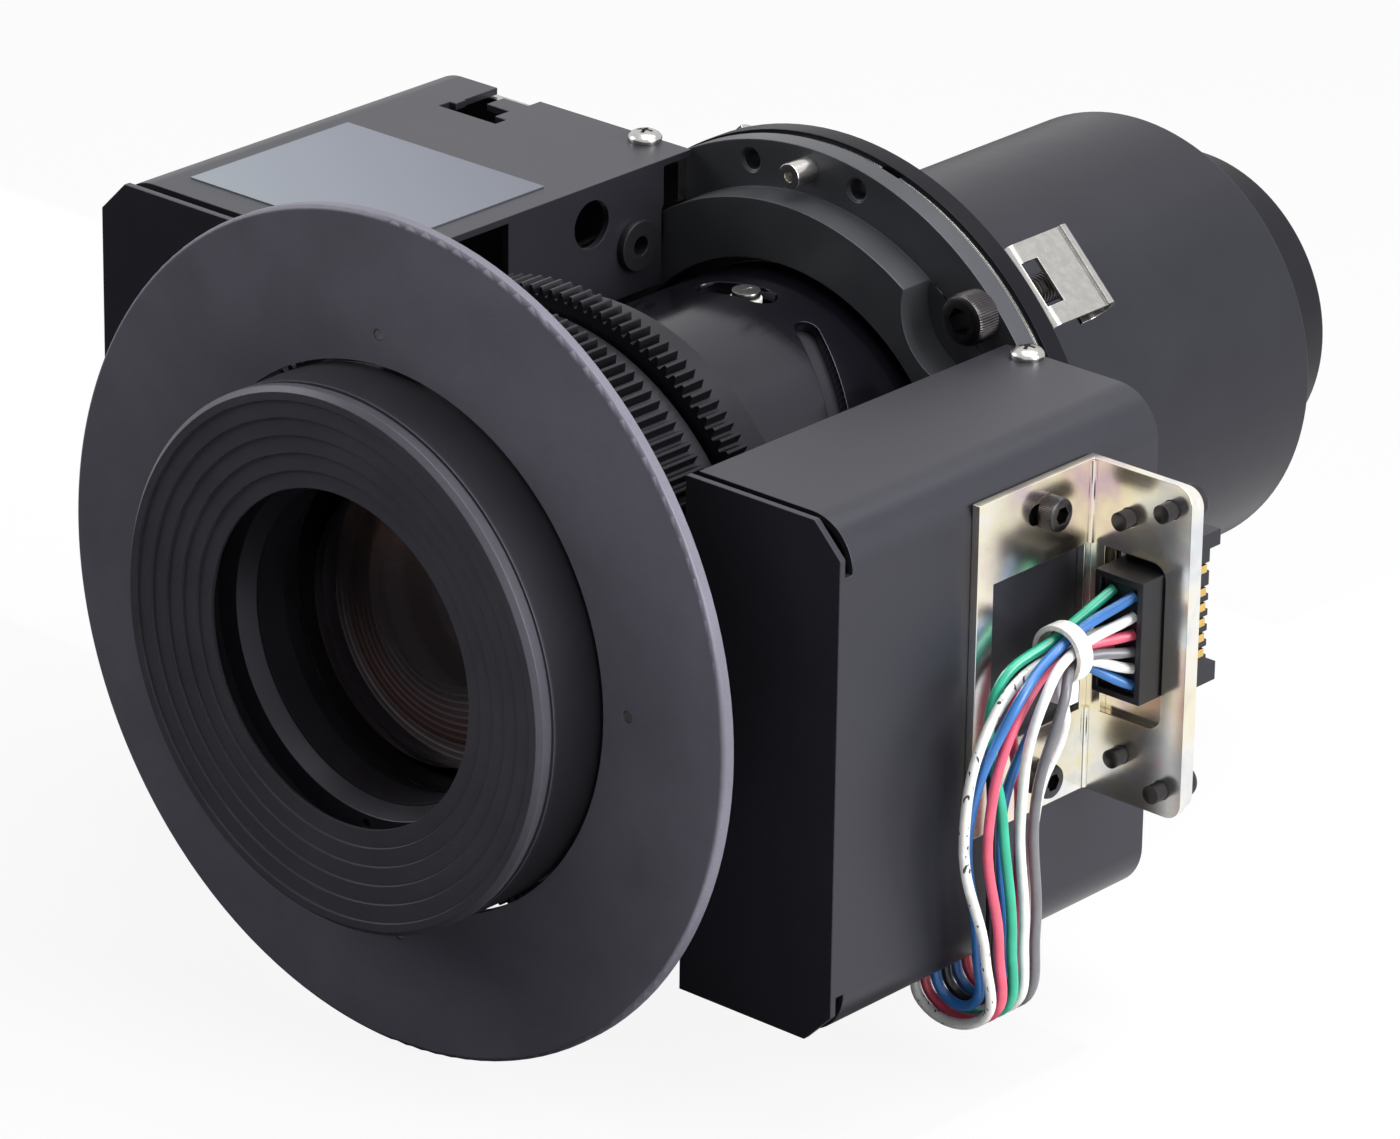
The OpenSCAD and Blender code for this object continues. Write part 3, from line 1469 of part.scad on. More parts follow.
function contact_z(k) = contact_top - contact_pitch * (k + (k > 0 ? contact_first_gap / 3 : 0));

module drawer_connector() {
    front = bracket_rear + zinc_t;
    color(black_coat) difference() {
        union() {
            block(drawer_in, drawer_out, front, front + drawer_len, drawer_low, drawer_top);
            block(drawer_in, drawer_out, front, front + drawer_end_len, drawer_top - drawer_end_top,
                drawer_top);
            block(drawer_in, drawer_out, front, front + drawer_end_len, drawer_low,
                drawer_low + drawer_end_low);
        }
        for (k = [0 : contact_count - 1])
            block(drawer_out - contact_t - contact_sink, drawer_out + over, front + contact_t,
                front + drawer_len + over, contact_z(k) - contact_w / 2 - fit_gap,
                contact_z(k) + contact_w / 2 + fit_gap);
    }
}

module gold_contacts() {
    front = bracket_rear + zinc_t + contact_t;
    color(gold) for (k = [0 : contact_count - 1])
        block(drawer_out - contact_t - contact_sink + fit_gap, drawer_out + contact_sink,
            front + fit_gap, front + contact_len, contact_z(k) - contact_w / 2,
            contact_z(k) + contact_w / 2);
}

// Cable tie and the wire loom

module cable_tie() {
    color(nylon) translate([tie_x, 0, tie_z]) {
        tube(tie_front, tie_front + tie_w, tie_in_r + tie_t, tie_in_r);
        block(-tie_head / 2, tie_head / 2, tie_front, tie_front + tie_w,
            -tie_in_r - tie_head_t, -tie_in_r - tie_t / 2);
    }
}

function unit(v) = v / norm(v);

function across(u, d) = unit(u - (u * d) * d);

function headings(p) = [for (i = [0 : len(p) - 1])
    unit(p[min(i + 1, len(p) - 1)] - p[max(i - 1, 0)])];

function sides_of(d) = [for (i = 0, u = across([1, 0, 0], d[0]); i < len(d);
    i = i + 1, u = i < len(d) ? across(u, d[i]) : u) u];

function ring(p, d, u, r) = let (v = cross(d, u))
    [for (k = [0 : wire_sides - 1])
        p + r * cos(360 * k / wire_sides) * u + r * sin(360 * k / wire_sides) * v];

module wire(p) {
    d = headings(p);
    u = sides_of(d);
    n = wire_sides;
    last = (len(p) - 1) * n;
    points = [for (i = [0 : len(p) - 1]) each ring(p[i], d[i], u[i], wire_r)];
    walls = [for (i = [0 : len(p) - 2]) for (k = [0 : n - 1])
        each [[i * n + k, i * n + (k + 1) % n, (i + 1) * n + (k + 1) % n],
            [i * n + k, (i + 1) * n + (k + 1) % n, (i + 1) * n + k]]];
    start_cap = [for (k = [1 : n - 2]) [0, k + 1, k]];
    end_cap = [for (k = [1 : n - 2]) [last, last + k, last + k + 1]];
    polyhedron(points, [for (f = concat(walls, start_cap, end_cap)) [f[0], f[2], f[1]]]);
}

module wire_harness() {
    color(nylon) for (w = wires) wire(w);
}

front_disc();
disc_screws();
hood_ring();
front_retainer();
front_cell();
front_lens();
inner_cell();
inner_lens();
focus_pins();
focus_gear_ring();
focus_keeper_ring();
guide_tube();
cam_barrel();
zoom_gear_ring();
barrel_washers();
cam_rollers();
roller_screws();
zoom_cell();
zoom_lens();
mount_flange();
flange_shims();
back_plate();
flange_screws();
locating_posts();
stud_clips();
barrel_screws();
rear_barrel();
rear_ring();
rear_lens();
rear_retainer();
right_cover();
left_cover();
cover_screws();
label_plate();
wall_grommet();
right_frame();
left_frame();
right_motor_plate();
left_motor_plate();
standoffs();
focus_motor();
focus_gearbox();
focus_pinion();
zoom_motor();
zoom_gearbox();
zoom_pinion();
limit_switches();
terminal_board();
board_spacers();
board_socket();
connector_bracket();
connector_plate();
bracket_screws();
bracket_nut_plate();
connector_screws();
wire_housing();
drawer_connector();
gold_contacts();
cable_tie();
wire_harness();
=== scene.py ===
# %% [markdown]
# # A motorised projection lens, dressed for its portrait
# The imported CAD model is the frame: it fixes every size and place. This notebook gives each part
# its edges, its fine detail and its finish, so that it looks like the machined, coated and plated
# object.

# %% Load the frame
import json
from math import atan2, cos, pi, radians, sin, sqrt

import bmesh
import bpy
from mathutils import Matrix, Vector


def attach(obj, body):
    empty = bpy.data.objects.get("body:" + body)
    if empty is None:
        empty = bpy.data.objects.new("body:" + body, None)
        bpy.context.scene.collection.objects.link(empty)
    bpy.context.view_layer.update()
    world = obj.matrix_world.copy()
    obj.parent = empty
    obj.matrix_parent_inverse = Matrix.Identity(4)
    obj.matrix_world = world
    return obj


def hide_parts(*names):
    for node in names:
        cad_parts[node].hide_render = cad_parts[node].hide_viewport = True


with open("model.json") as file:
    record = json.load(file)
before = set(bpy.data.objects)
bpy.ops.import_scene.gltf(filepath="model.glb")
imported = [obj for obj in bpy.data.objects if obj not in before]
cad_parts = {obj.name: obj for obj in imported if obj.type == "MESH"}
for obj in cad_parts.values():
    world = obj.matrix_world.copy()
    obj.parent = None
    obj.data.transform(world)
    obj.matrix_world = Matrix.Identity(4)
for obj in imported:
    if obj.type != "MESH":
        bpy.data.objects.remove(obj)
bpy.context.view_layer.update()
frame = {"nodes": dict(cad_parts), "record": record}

MM = 0.001
nodes = frame["nodes"]
body_of_node = {n: b for b, names in frame["record"]["behaviour"]["bodies"].items() for n in names}

# %% [markdown]
# ## The camera
# The photograph was taken with a long lens from the front left, a little above. Its place was
# solved from the round edges, which all share the lens axis. The focal length in pixels over the
# picture's width gives the focal length for Blender's 36 mm sensor.

# %% Place the camera
PICTURE_WIDTH = 1400
FOCAL_PIXELS = 7772.856
SENSOR = 36
camera_right = Vector((0.746241, 0.665542, 0.013352))
camera_up = Vector((-0.269113, 0.283276, 0.920507))
camera_back = Vector((0.608853, -0.690513, 0.390499))
camera_place = Vector((0.751262, -0.885506, 0.471360))

camera = bpy.data.objects.new("camera", bpy.data.cameras.new("camera"))
camera.data.sensor_width = SENSOR
camera.data.lens = SENSOR * FOCAL_PIXELS / PICTURE_WIDTH
camera.matrix_world = Matrix.Translation(camera_place) @ Matrix(
    (camera_right, camera_up, camera_back)).transposed().to_4x4()
bpy.context.scene.collection.objects.link(camera)
bpy.context.scene.camera = camera
bpy.context.scene.view_settings.view_transform = "Standard"
print("focal length", round(camera.data.lens, 1), "mm")

# %% [markdown]
# ## Arithmetic on sockets
# Shader maths reads best as plain Python. `Value` wraps one output socket, so `1 - mask * 0.5`
# adds the Math nodes by itself. Every other node comes from one function, which takes its kind,
# its settings and what goes into its sockets: a number, a colour or another `Value`.

# %% Make any node, and add and multiply its sockets
WHITE = (1, 1, 1, 1)


def shade(colour, share):
    """The colour, made lighter or darker by a share."""
    return tuple(min(1, c * share) for c in colour)


def fill(tree, target, value):
    """Links a Value to the socket, or sets the socket's own number or colour."""
    if isinstance(value, Value):
        tree.links.new(value.socket, target)
    elif isinstance(value, tuple) and len(value) == 3 and target.type == "RGBA":
        target.default_value = (*value, 1)
    else:
        target.default_value = value


def add_node(tree, kind, settings=None, inputs=None, out=0):
    """A new node whose settings are made first; the answer is one of its outputs."""
    node = tree.nodes.new(kind)
    for key, value in (settings or {}).items():
        if key == "stops":
            elements = node.color_ramp.elements
            while len(elements) < len(value):
                elements.new(0.5)
            for element, (position, colour) in zip(elements, value):
                element.position, element.color = position, (*colour, 1)
        else:
            setattr(node, key, value)
    for socket, value in (inputs or {}).items():
        fill(tree, node.inputs[socket], value)
    return Value(tree, node.outputs[out])


class Value:
    def __init__(self, tree, socket):
        self.tree, self.socket = tree, socket

    def maths(self, operation, *others):
        return add_node(self.tree, "ShaderNodeMath", {"operation": operation},
                        dict(enumerate((self, *others))))

    def above(self, low, high):
        """0 below low, 1 above high, smooth between them."""
        return add_node(self.tree, "ShaderNodeMapRange", {"interpolation_type": "SMOOTHSTEP"},
                        {"Value": self, "From Min": low, "From Max": high}, out="Result")

    def __add__(self, other): return self.maths("ADD", other)
    def __radd__(self, other): return self.maths("ADD", other)
    def __sub__(self, other): return self.maths("SUBTRACT", other)
    def __mul__(self, other): return self.maths("MULTIPLY", other)
    def __rmul__(self, other): return self.maths("MULTIPLY", other)
    def __truediv__(self, other): return self.maths("DIVIDE", other)
    def __pow__(self, other): return self.maths("POWER", other)

    def __rsub__(self, other):
        return add_node(self.tree, "ShaderNodeMath", {"operation": "SUBTRACT"},
                        {0: other, 1: self})


print("sockets can now be added and multiplied")

# %% [markdown]
# ## One class for a finish
# A finish on a real part is a base colour, a gloss and a fine relief. `Finish` holds one
# Principled shader and has a short word for each pattern that the finishes below share. Very dark
# coats mirror the studio with a cool tint, so their mirror image is slightly blue.

# %% A material with its shader and its helpers
DARK = 0.2
BLUE_SHEEN = (0.84, 0.84, 1.0, 1.0)


class Finish:
    def __init__(self, name, colour, roughness, metallic=0.0, **settings):
        self.material = bpy.data.materials.new(name)
        self.material.use_nodes = True
        self.tree = self.material.node_tree
        self.tree.nodes.clear()
        self.output = self.tree.nodes.new("ShaderNodeOutputMaterial")
        self.shader = self.tree.nodes.new("ShaderNodeBsdfPrincipled")
        self.tree.links.new(self.shader.outputs[0], self.output.inputs["Surface"])
        self.set("Base Color", colour)
        self.set("Roughness", roughness)
        self.set("Metallic", metallic)
        if max(colour) < DARK:
            self.set("Specular Tint", BLUE_SHEEN)
        for socket, value in settings.items():
            self.set(socket.replace("_", " "), value)

    def set(self, socket, value):
        fill(self.tree, self.shader.inputs[socket], value)

    def place(self):
        return add_node(self.tree, "ShaderNodeTexCoord", out="Object")

    def split(self, vector):
        """The three numbers of a vector."""
        x = add_node(self.tree, "ShaderNodeSeparateXYZ", inputs={0: vector})
        return [Value(self.tree, output) for output in x.socket.node.outputs]

    def join(self, x, y, z):
        return add_node(self.tree, "ShaderNodeCombineXYZ", inputs={"X": x, "Y": y, "Z": z})

    def noise(self, size, detail=3.0, rough=0.55, vector=None, stretch=None):
        """A cloudy pattern whose features are about size metres wide."""
        vector = vector or self.place()
        if stretch:
            vector = add_node(self.tree, "ShaderNodeMapping",
                              inputs={"Vector": vector, "Scale": stretch})
        return add_node(self.tree, "ShaderNodeTexNoise",
                        inputs={"Vector": vector, "Scale": 1 / size, "Detail": detail,
                                "Roughness": rough})

    def blend_colours(self, mask, low, high):
        return add_node(self.tree, "ShaderNodeMix", {"data_type": "RGBA"},
                        {0: mask, 6: low, 7: high}, out=2)

    def ramp(self, mask, stops):
        return add_node(self.tree, "ShaderNodeValToRGB", {"stops": stops}, {0: mask})

    def bump(self, height, depth):
        """Raises the surface by depth metres where height is 1."""
        self.set("Normal", add_node(self.tree, "ShaderNodeBump", inputs={
            "Height": height, "Distance": depth, "Strength": 1.0}))

    def radius(self):
        """Distance from the lens axis, and the place along it."""
        x, y, z = self.split(self.place())
        return (x * x + z * z) ** 0.5, y


print("a finish can hold noise, ramps and bumps")

# %% [markdown]
# ## Turned metal
# A lathe leaves fine rings round the axis. The rings are noise that varies with the radius on a
# face and with the length on a cylinder, so one pattern on (radius, length) serves both, with no
# seam. Past the hood's terraced face, painted shade darkens the colour nearly to black: the ring
# behind the face and the bore are painted as if in shade.

# %% How a turned surface looks
# Past this place along the axis, the hood's colour carries painted shade.
HOOD_FACE_END = -114.6
CLOUD_SIZE, GRAIN_SIZE = 0.011, 0.00025


def turned_finish(name, colour, roughness, ring=0.00035, depth=0.000004, spread=0.25,
                  metallic=0.0, painted_shade_from=None, **settings):
    """Rings as wide as ring and as high as depth. Past the place given in millimetres, painted
    shade darkens the colour.
    """
    f = Finish(name, colour, roughness, metallic, **settings)
    r, y = f.radius()
    rings = f.noise(ring, 4.0, 0.7, vector=f.join(r, y, 0.0))
    clouds = f.noise(CLOUD_SIZE, 4.0)
    grain = f.noise(GRAIN_SIZE, 2.0)
    tone = f.blend_colours((clouds * 0.5 + grain * 0.5).above(0.25, 0.75), shade(colour, 0.84),
                           shade(colour, 1.16))
    shine = roughness + (clouds - 0.5) * spread * roughness + (rings - 0.5) * 0.12
    # Painted shade: past the hood's face the colour is darkened nearly to black.
    if painted_shade_from is not None:
        painted_shade = y.above((painted_shade_from - 0.5) * MM, (painted_shade_from + 0.5) * MM)
        tone = f.blend_colours(painted_shade, tone, shade(colour, 0.18))
        shine = shine + painted_shade * 0.08
    f.set("Base Color", tone)
    f.set("Roughness", shine)
    f.bump(rings * 0.7 + grain * 0.3, depth)
    return f.material


# %% Anodised and turned finishes
disc_paint = turned_finish("satin_grey_anodised", (0.145, 0.140, 0.172), 0.42, depth=0.0000015)
# The hood's finish, with painted shade past its terraced face.
hood_black = turned_finish("hood_anodised_painted_shade", (0.064, 0.061, 0.073), 0.36, depth=0.000003,
                           painted_shade_from=HOOD_FACE_END, Specular_IOR_Level=0.35)
barrel_grey = turned_finish("rear_barrel_anodised", (0.013, 0.013, 0.017), 0.38, depth=0.000002,
                            Specular_IOR_Level=0.3)
flange_grey = turned_finish("flange_anodised", (0.046, 0.048, 0.052), 0.36, depth=0.000003)
plate_black = turned_finish("plate_anodised", (0.005, 0.005, 0.007), 0.34, depth=0.000003,
                            Specular_IOR_Level=0.12)
cell_grey = turned_finish("cell_anodised", (0.012, 0.011, 0.014), 0.42, depth=0.000003)
inside_black = turned_finish("inside_blackened", (0.004, 0.004, 0.005), 0.55, depth=0.000004)
gloss_black = turned_finish("gloss_black", (0.004, 0.004, 0.006), 0.16, ring=0.0006,
                            depth=0.0000006, spread=0.5)
ring_black = turned_finish("rear_ring_black", (0.005, 0.005, 0.006), 0.24, depth=0.000001,
                           Specular_IOR_Level=0.3)
steel = turned_finish("turned_steel", (0.62, 0.60, 0.57), 0.24, metallic=1.0, depth=0.000002)
brass = turned_finish("machined_brass", (0.62, 0.42, 0.16), 0.28, metallic=1.0, depth=0.000002)
print(len(bpy.data.materials), "materials in the file")

# %% [markdown]
# ## Powder coat
# The sheet metal covers have a fine matt powder coat with a cool sheen. Its orange peel is a very
# shallow bump under half a millimetre wide, and clouds in the roughness keep large faces alive.

# %% Powder coat and moulded plastics
def coat_finish(name, colour, roughness, grain=0.00035, depth=0.000006, **settings):
    f = Finish(name, colour, roughness, **settings)
    peel = f.noise(grain, 2.0, 0.5)
    cloud = f.noise(0.02, 4.0)
    f.set("Base Color", f.blend_colours((peel * 0.6 + cloud * 0.4).above(0.3, 0.7),
                                        shade(colour, 0.86), shade(colour, 1.18)))
    f.set("Roughness", roughness + (cloud - 0.5) * 0.08 + (peel - 0.5) * 0.10)
    f.bump(peel, depth)
    return f.material


cover_black = coat_finish("cover_powder_coat", (0.010, 0.010, 0.014), 0.38, grain=0.0004,
                          depth=0.000007, Sheen_Weight=0.05)
gear_black = coat_finish("gear_moulding", (0.005, 0.005, 0.006), 0.34, grain=0.0006,
                         depth=0.000008, Specular_IOR_Level=0.3)
plastic_black = coat_finish("black_moulding", (0.006, 0.006, 0.007), 0.34, grain=0.0005,
                            depth=0.000004)
rubber_black = coat_finish("black_rubber", (0.006, 0.006, 0.006), 0.45, grain=0.0003,
                           depth=0.00001)
board_green = coat_finish("solder_mask", (0.02, 0.13, 0.05), 0.25, grain=0.0008, depth=0.00001)
nylon_white = coat_finish("white_nylon", (0.80, 0.80, 0.77), 0.38, grain=0.0006, depth=0.000004,
                          Subsurface_Weight=0.15, Subsurface_Scale=0.001)
print(len(bpy.data.materials), "materials in the file")

# %% [markdown]
# ## Plated metal
# Nickel, gold and black oxide are metals, so their colour is the colour of their mirror image.
# Slow clouds vary the gloss, and a very shallow bump breaks the mirror a little.

# %% Plated and oxidised metals
def plated_finish(name, colour, roughness, depth=0.000003, spread=0.5):
    f = Finish(name, colour, roughness, 1.0)
    cloud = f.noise(0.0015, 5.0, 0.6)
    rub = f.noise(0.0004, 3.0, 0.6)
    f.set("Base Color", f.blend_colours(cloud.above(0.3, 0.75), shade(colour, 0.9),
                                        shade(colour, 1.06)))
    f.set("Roughness", roughness + (cloud - 0.5) * spread * roughness)
    f.bump(rub * 0.5 + cloud * 0.5, depth)
    return f.material


bright_steel = plated_finish("nickel_plate", (0.50, 0.49, 0.47), 0.24, spread=0.3)
black_oxide = plated_finish("black_oxide", (0.075, 0.07, 0.07), 0.30, depth=0.000006)
gold_plate = plated_finish("gold_plate", (0.86, 0.58, 0.19), 0.18)
print(len(bpy.data.materials), "materials in the file")

# %% [markdown]
# ## Zinc with a yellow passivation
# The passivated film is a few hundred nanometres thick, so it shows faint interference colours:
# straw yellow first, then patches of rose and green. A ramp on slow noise lays those colours out,
# and the rolled sheet below adds fine lines.

# %% The iridescent zinc
def zinc_finish(name):
    f = Finish(name, (0.75, 0.7, 0.55), 0.2, 1.0)
    x, y, z = f.split(f.place())
    film = f.noise(0.014, 2.0, 0.5) * 0.85 + f.noise(0.003, 3.0, 0.6) * 0.15
    tint = f.ramp(film, [(0.32, (0.72, 0.60, 0.68)), (0.40, (0.86, 0.77, 0.66)),
                         (0.48, (0.92, 0.87, 0.70)), (0.56, (0.92, 0.90, 0.84)),
                         (0.64, (0.76, 0.79, 0.82)), (0.72, (0.80, 0.68, 0.72))])
    specks = f.noise(0.0006, 2.0, 0.6)
    f.set("Base Color", f.blend_colours(specks.above(0.66, 0.8) * 0.3, tint, (0.45, 0.40, 0.30)))
    rolled = f.noise(0.0003, 2.0, 0.6, vector=f.join(z, (x + y) * 0.05, 0.0))
    f.set("Roughness", 0.15 + (film - 0.5) * 0.15 + rolled * 0.08)
    f.bump(rolled * 0.3 + specks * 0.7, 0.0000007)
    return f.material


zinc = zinc_finish("yellow_passivated_zinc")
print("made", zinc.name)

# %% [markdown]
# ## The label
# The label is a bare silver film. It is darker towards the rear right, so its tone runs along the
# diagonal from its front left corner.

# %% The silver film of the label
LABEL_LEFT, LABEL_FRONT = -72.4, -74.3
LABEL_WIDE, LABEL_LONG = 43.1, 35.6


def label_finish(name):
    f = Finish(name, (0.4, 0.42, 0.46), 0.34, 0.55)
    x, y, _ = f.split(f.place())
    along = ((x - LABEL_LEFT * MM) / (LABEL_WIDE * MM) * 0.45
             + (y - LABEL_FRONT * MM) / (LABEL_LONG * MM) * 0.55)
    grain = f.noise(0.0003, 2.0)
    tone = f.ramp(along, [(0.0, (0.25, 0.28, 0.32)), (0.45, (0.19, 0.21, 0.26)),
                          (1.0, (0.12, 0.13, 0.17))])
    f.set("Base Color", f.blend_colours(grain * 0.25, tone, (0.36, 0.38, 0.42)))
    f.set("Roughness", 0.30 + grain * 0.12)
    f.bump(grain, 0.000002)
    return f.material


label_silver = label_finish("label_film")
print("made", label_silver.name)

# %% [markdown]
# ## Glass
# Each lens is clear glass with a coating against reflections. What little it still mirrors has the
# coating's colour: rose on the outer lenses, green on the zoom lens.

# %% Coated glass
def glass_finish(name, tint, coat_tint):
    f = Finish(name, tint, 0.0, Transmission_Weight=1.0, IOR=1.52)
    f.set("Roughness", f.noise(0.02, 2.0) * 0.01)
    f.set("Specular Tint", coat_tint)
    return f.material


front_glass = glass_finish("front_glass", (0.90, 0.85, 0.86), (1.0, 0.72, 0.60))
inner_glass = glass_finish("inner_glass", (0.80, 0.68, 0.68), (0.75, 1.0, 0.70))
print("made", front_glass.name, "and", inner_glass.name)

# %% [markdown]
# The second lens is the one that fills the mouth. It is drawn opaque, and its black depth is
# painted shade, broken by painted reflections of its coatings: a brown cloud above and fine mauve
# and green rings round the axis below, which fade out towards the top. They are laid out here from
# the radius and the height alone.

# %% The painted reflections in the depth of the lens
SECOND_LENS_R = 21.84
ARCS = 18


def painted_reflex_finish(name, lens_r):
    # Opaque: the dark base colour is painted shade for the lens's depth.
    f = Finish(name, (0.01, 0.008, 0.009), 0.07, IOR=1.6, Coat_Weight=0.4, Coat_Roughness=0.03)
    r, _ = f.radius()
    x, _, z = f.split(f.place())
    share = r / (lens_r * MM)
    below = (z * (-1 / (lens_r * MM))).above(-0.05, 0.75)
    above = (z / (lens_r * MM)).above(0.0, 0.7)
    # Painted reflections: fine rings of colour by radius, fading out towards the top.
    painted_rings = (share * ARCS).maths("FRACT").above(0.50, 0.98)
    band = share.above(0.38, 0.62)
    tone = f.ramp(share, [(0.35, (0.045, 0.075, 0.050)), (0.55, (0.110, 0.140, 0.105)),
                          (0.68, (0.290, 0.210, 0.230)), (0.82, (0.400, 0.250, 0.240)),
                          (0.92, (0.200, 0.105, 0.080)), (0.99, (0.600, 0.560, 0.580))])
    # A painted brown reflection on the upper half.
    cloud = f.noise(0.012, 3.0, vector=f.join(x, z * 0.45, 0.0)).above(0.35, 0.75)
    base = f.blend_colours(above * cloud, (0.010, 0.008, 0.009), (0.300, 0.165, 0.110))
    # The painted reflections go into the base colour.
    f.set("Base Color", f.blend_colours(below * band * (0.25 + painted_rings * 0.75), base, tone))
    f.set("Roughness", 0.05 + cloud * 0.05)
    return f.material


painted_reflex_lens = painted_reflex_finish("second_lens_painted_reflections", SECOND_LENS_R)
print("made", painted_reflex_lens.name)

# %% [markdown]
# ## Wire insulation
# PVC has a strong colour under a soft gloss. One white wire is marked with short dark dashes,
# which are noise stretched downwards and cut off sharply.

# %% Wire insulation
def insulation(name, colour, stripe=None):
    f = Finish(name, colour, 0.30, Coat_Weight=0.25, Coat_Roughness=0.15)
    cloud = f.noise(0.004, 3.0)
    base = f.blend_colours(cloud.above(0.3, 0.7), shade(colour, 0.9), shade(colour, 1.08))
    if stripe:
        marks = f.noise(0.0009, 1.0, stretch=(1.0, 1.0, 0.45)).above(0.66, 0.68)
        base = f.blend_colours(marks, base, stripe)
    f.set("Base Color", base)
    f.bump(cloud, 0.00002)
    return f.material


PVC = {
    "green": insulation("green_pvc", (0.02, 0.42, 0.26)),
    "blue": insulation("blue_pvc", (0.03, 0.16, 0.46)),
    "white": insulation("white_pvc", (0.80, 0.80, 0.78)),
    "pink": insulation("pink_pvc", (0.72, 0.10, 0.17)),
    "grey": insulation("grey_pvc", (0.16, 0.16, 0.17)),
    "black": insulation("black_pvc", (0.015, 0.015, 0.016)),
    "red": insulation("red_pvc", (0.66, 0.07, 0.12)),
    "marked": insulation("marked_pvc", (0.78, 0.78, 0.76), (0.03, 0.03, 0.03)),
}
print(len(PVC), "colours of wire")

# %% [markdown]
# ## The wire loom
# Ten wires leave the black housing, run through the cable tie, hang down the side of the cover and
# turn in under it to the terminal board. They are held at both ends, so each is one smooth curve
# through the places that the CAD route has.

# %% The routes, in millimetres
WIRE_R = 0.84
ROUTES = [
    ("green", ((81.4, -30.8, 9.4), (79, -41, 4), (77.1, -52.9, -1.9), (80.2, -54.4, -22),
        (79.6, -50.6, -44), (77, -49.2, -56.6), (65, -49.2, -57.4), (63.6, -49.2, -49))),
    ("blue", ((85.5, -30.8, 9.4), (81, -41, 4), (81.9, -54.9, -3.3), (77.3, -58.8, -22),
        (77.2, -55.9, -44), (75, -54, -54.6), (69.4, -54, -54.8), (67, -54, -49))),
    ("white", ((85.5, -30.8, 6), (82.5, -41, 2.6), (84.6, -50.5, -1.2), (79.9, -49.7, -22),
        (79.6, -47.7, -44), (77, -46.8, -56.6), (65, -46.8, -57.4), (63.6, -46.8, -49))),
    ("pink", ((85.5, -30.8, 3), (81, -41, 1.5), (81.2, -52, -4.3), (80.2, -57.7, -22),
        (79.6, -53.6, -44), (77, -51.6, -56.6), (65, -51.6, -57.4), (63.6, -51.6, -49))),
    ("grey", ((85.5, -30.8, 0.2), (82.5, -41, 0.4), (84.6, -46.1, -3.6), (79.7, -46, -22),
        (79.6, -44.9, -44), (77, -44.4, -56.6), (65, -44.4, -57.4), (63.6, -44.4, -49))),
    ("white", ((85.5, -30.8, -2.6), (81, -41, -1), (80.7, -40.8, -10.3), (77.8, -42.9, -22),
        (77.2, -44.1, -44), (75, -44.4, -54.6), (69.4, -44.4, -54.8), (67, -44.4, -49))),
    ("blue", ((85.5, -30.8, -5.4), (79, -41, -1), (80.8, -46.3, -4.8), (77.2, -50.8, -22),
        (77.2, -49.9, -44), (75, -49.2, -54.6), (69.4, -49.2, -54.8), (67, -49.2, -49))),
    ("black", ((81.4, -30.8, 6), (77.5, -41, 2.6), (76.6, -51.3, -3.2), (77.7, -54, -22),
        (77.2, -52.9, -44), (75, -51.6, -54.6), (69.4, -51.6, -54.8), (67, -51.6, -49))),
    ("marked", ((81.4, -30.8, 3), (79, -41, 1.5), (79.5, -56.2, -4.1), (79.6, -62.8, -22),
        (79.6, -56.9, -44), (77, -54, -56.6), (65, -54, -57.4), (63.6, -54, -49))),
    ("red", ((81.4, -30.8, 0.2), (77.5, -41, 0.4), (76.6, -46.9, -3.2), (77.7, -47.4, -22),
        (77.2, -47, -44), (75, -46.8, -54.6), (69.4, -46.8, -54.8), (67, -46.8, -49))),
]
print(len(ROUTES), "routes")


# %% One wire, and how long it is
STEPS_PER_BEND = 40


def lay_wire(name, route, material):
    curve = bpy.data.curves.new(name, "CURVE")
    curve.dimensions = "3D"
    curve.bevel_depth = WIRE_R * MM
    curve.bevel_resolution = 4
    curve.resolution_u = 10
    curve.use_fill_caps = True
    spline = curve.splines.new("BEZIER")
    spline.bezier_points.add(len(route) - 1)
    for point, place in zip(spline.bezier_points, route):
        point.co = Vector(place) * MM
        point.handle_left_type = point.handle_right_type = "AUTO"
    curve.materials.append(material)
    piece = bpy.data.objects.new(name, curve)
    bpy.context.scene.collection.objects.link(piece)
    bpy.context.view_layer.update()
    return piece


def curve_length(piece):
    """The sum of short chords along each Bezier bend, in metres."""
    points = piece.data.splines[0].bezier_points
    total = 0.0
    for a, b in zip(points[:-1], points[1:]):
        last = a.co.copy()
        for k in range(1, STEPS_PER_BEND + 1):
            t = k / STEPS_PER_BEND
            here = ((1 - t) ** 3 * a.co + 3 * (1 - t) ** 2 * t * a.handle_right
                    + 3 * (1 - t) * t * t * b.handle_left + t ** 3 * b.co)
            total += (here - last).length
            last = here
    return total


# %% Lay the wires
wire_lengths = []
for number, (colour, route) in enumerate(ROUTES):
    wire = lay_wire(f"wire_{number}_{colour}", route, PVC[colour])
    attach(wire, "lens_base")
    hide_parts("wire_harness")
    length = curve_length(wire)
    wire_lengths.append(round(length / MM, 1))
print("wires, mm:", wire_lengths)

# %% [markdown]
# ## Softened edges
# No machined or bent edge is perfectly sharp: it has a small bevel that catches the light. The CAD
# mesh is copied, its doubled corners are merged, flat areas are joined into large faces, and every
# edge sharper than 30 degrees is bevelled. The disc's rim is thin and keeps its plain edge.

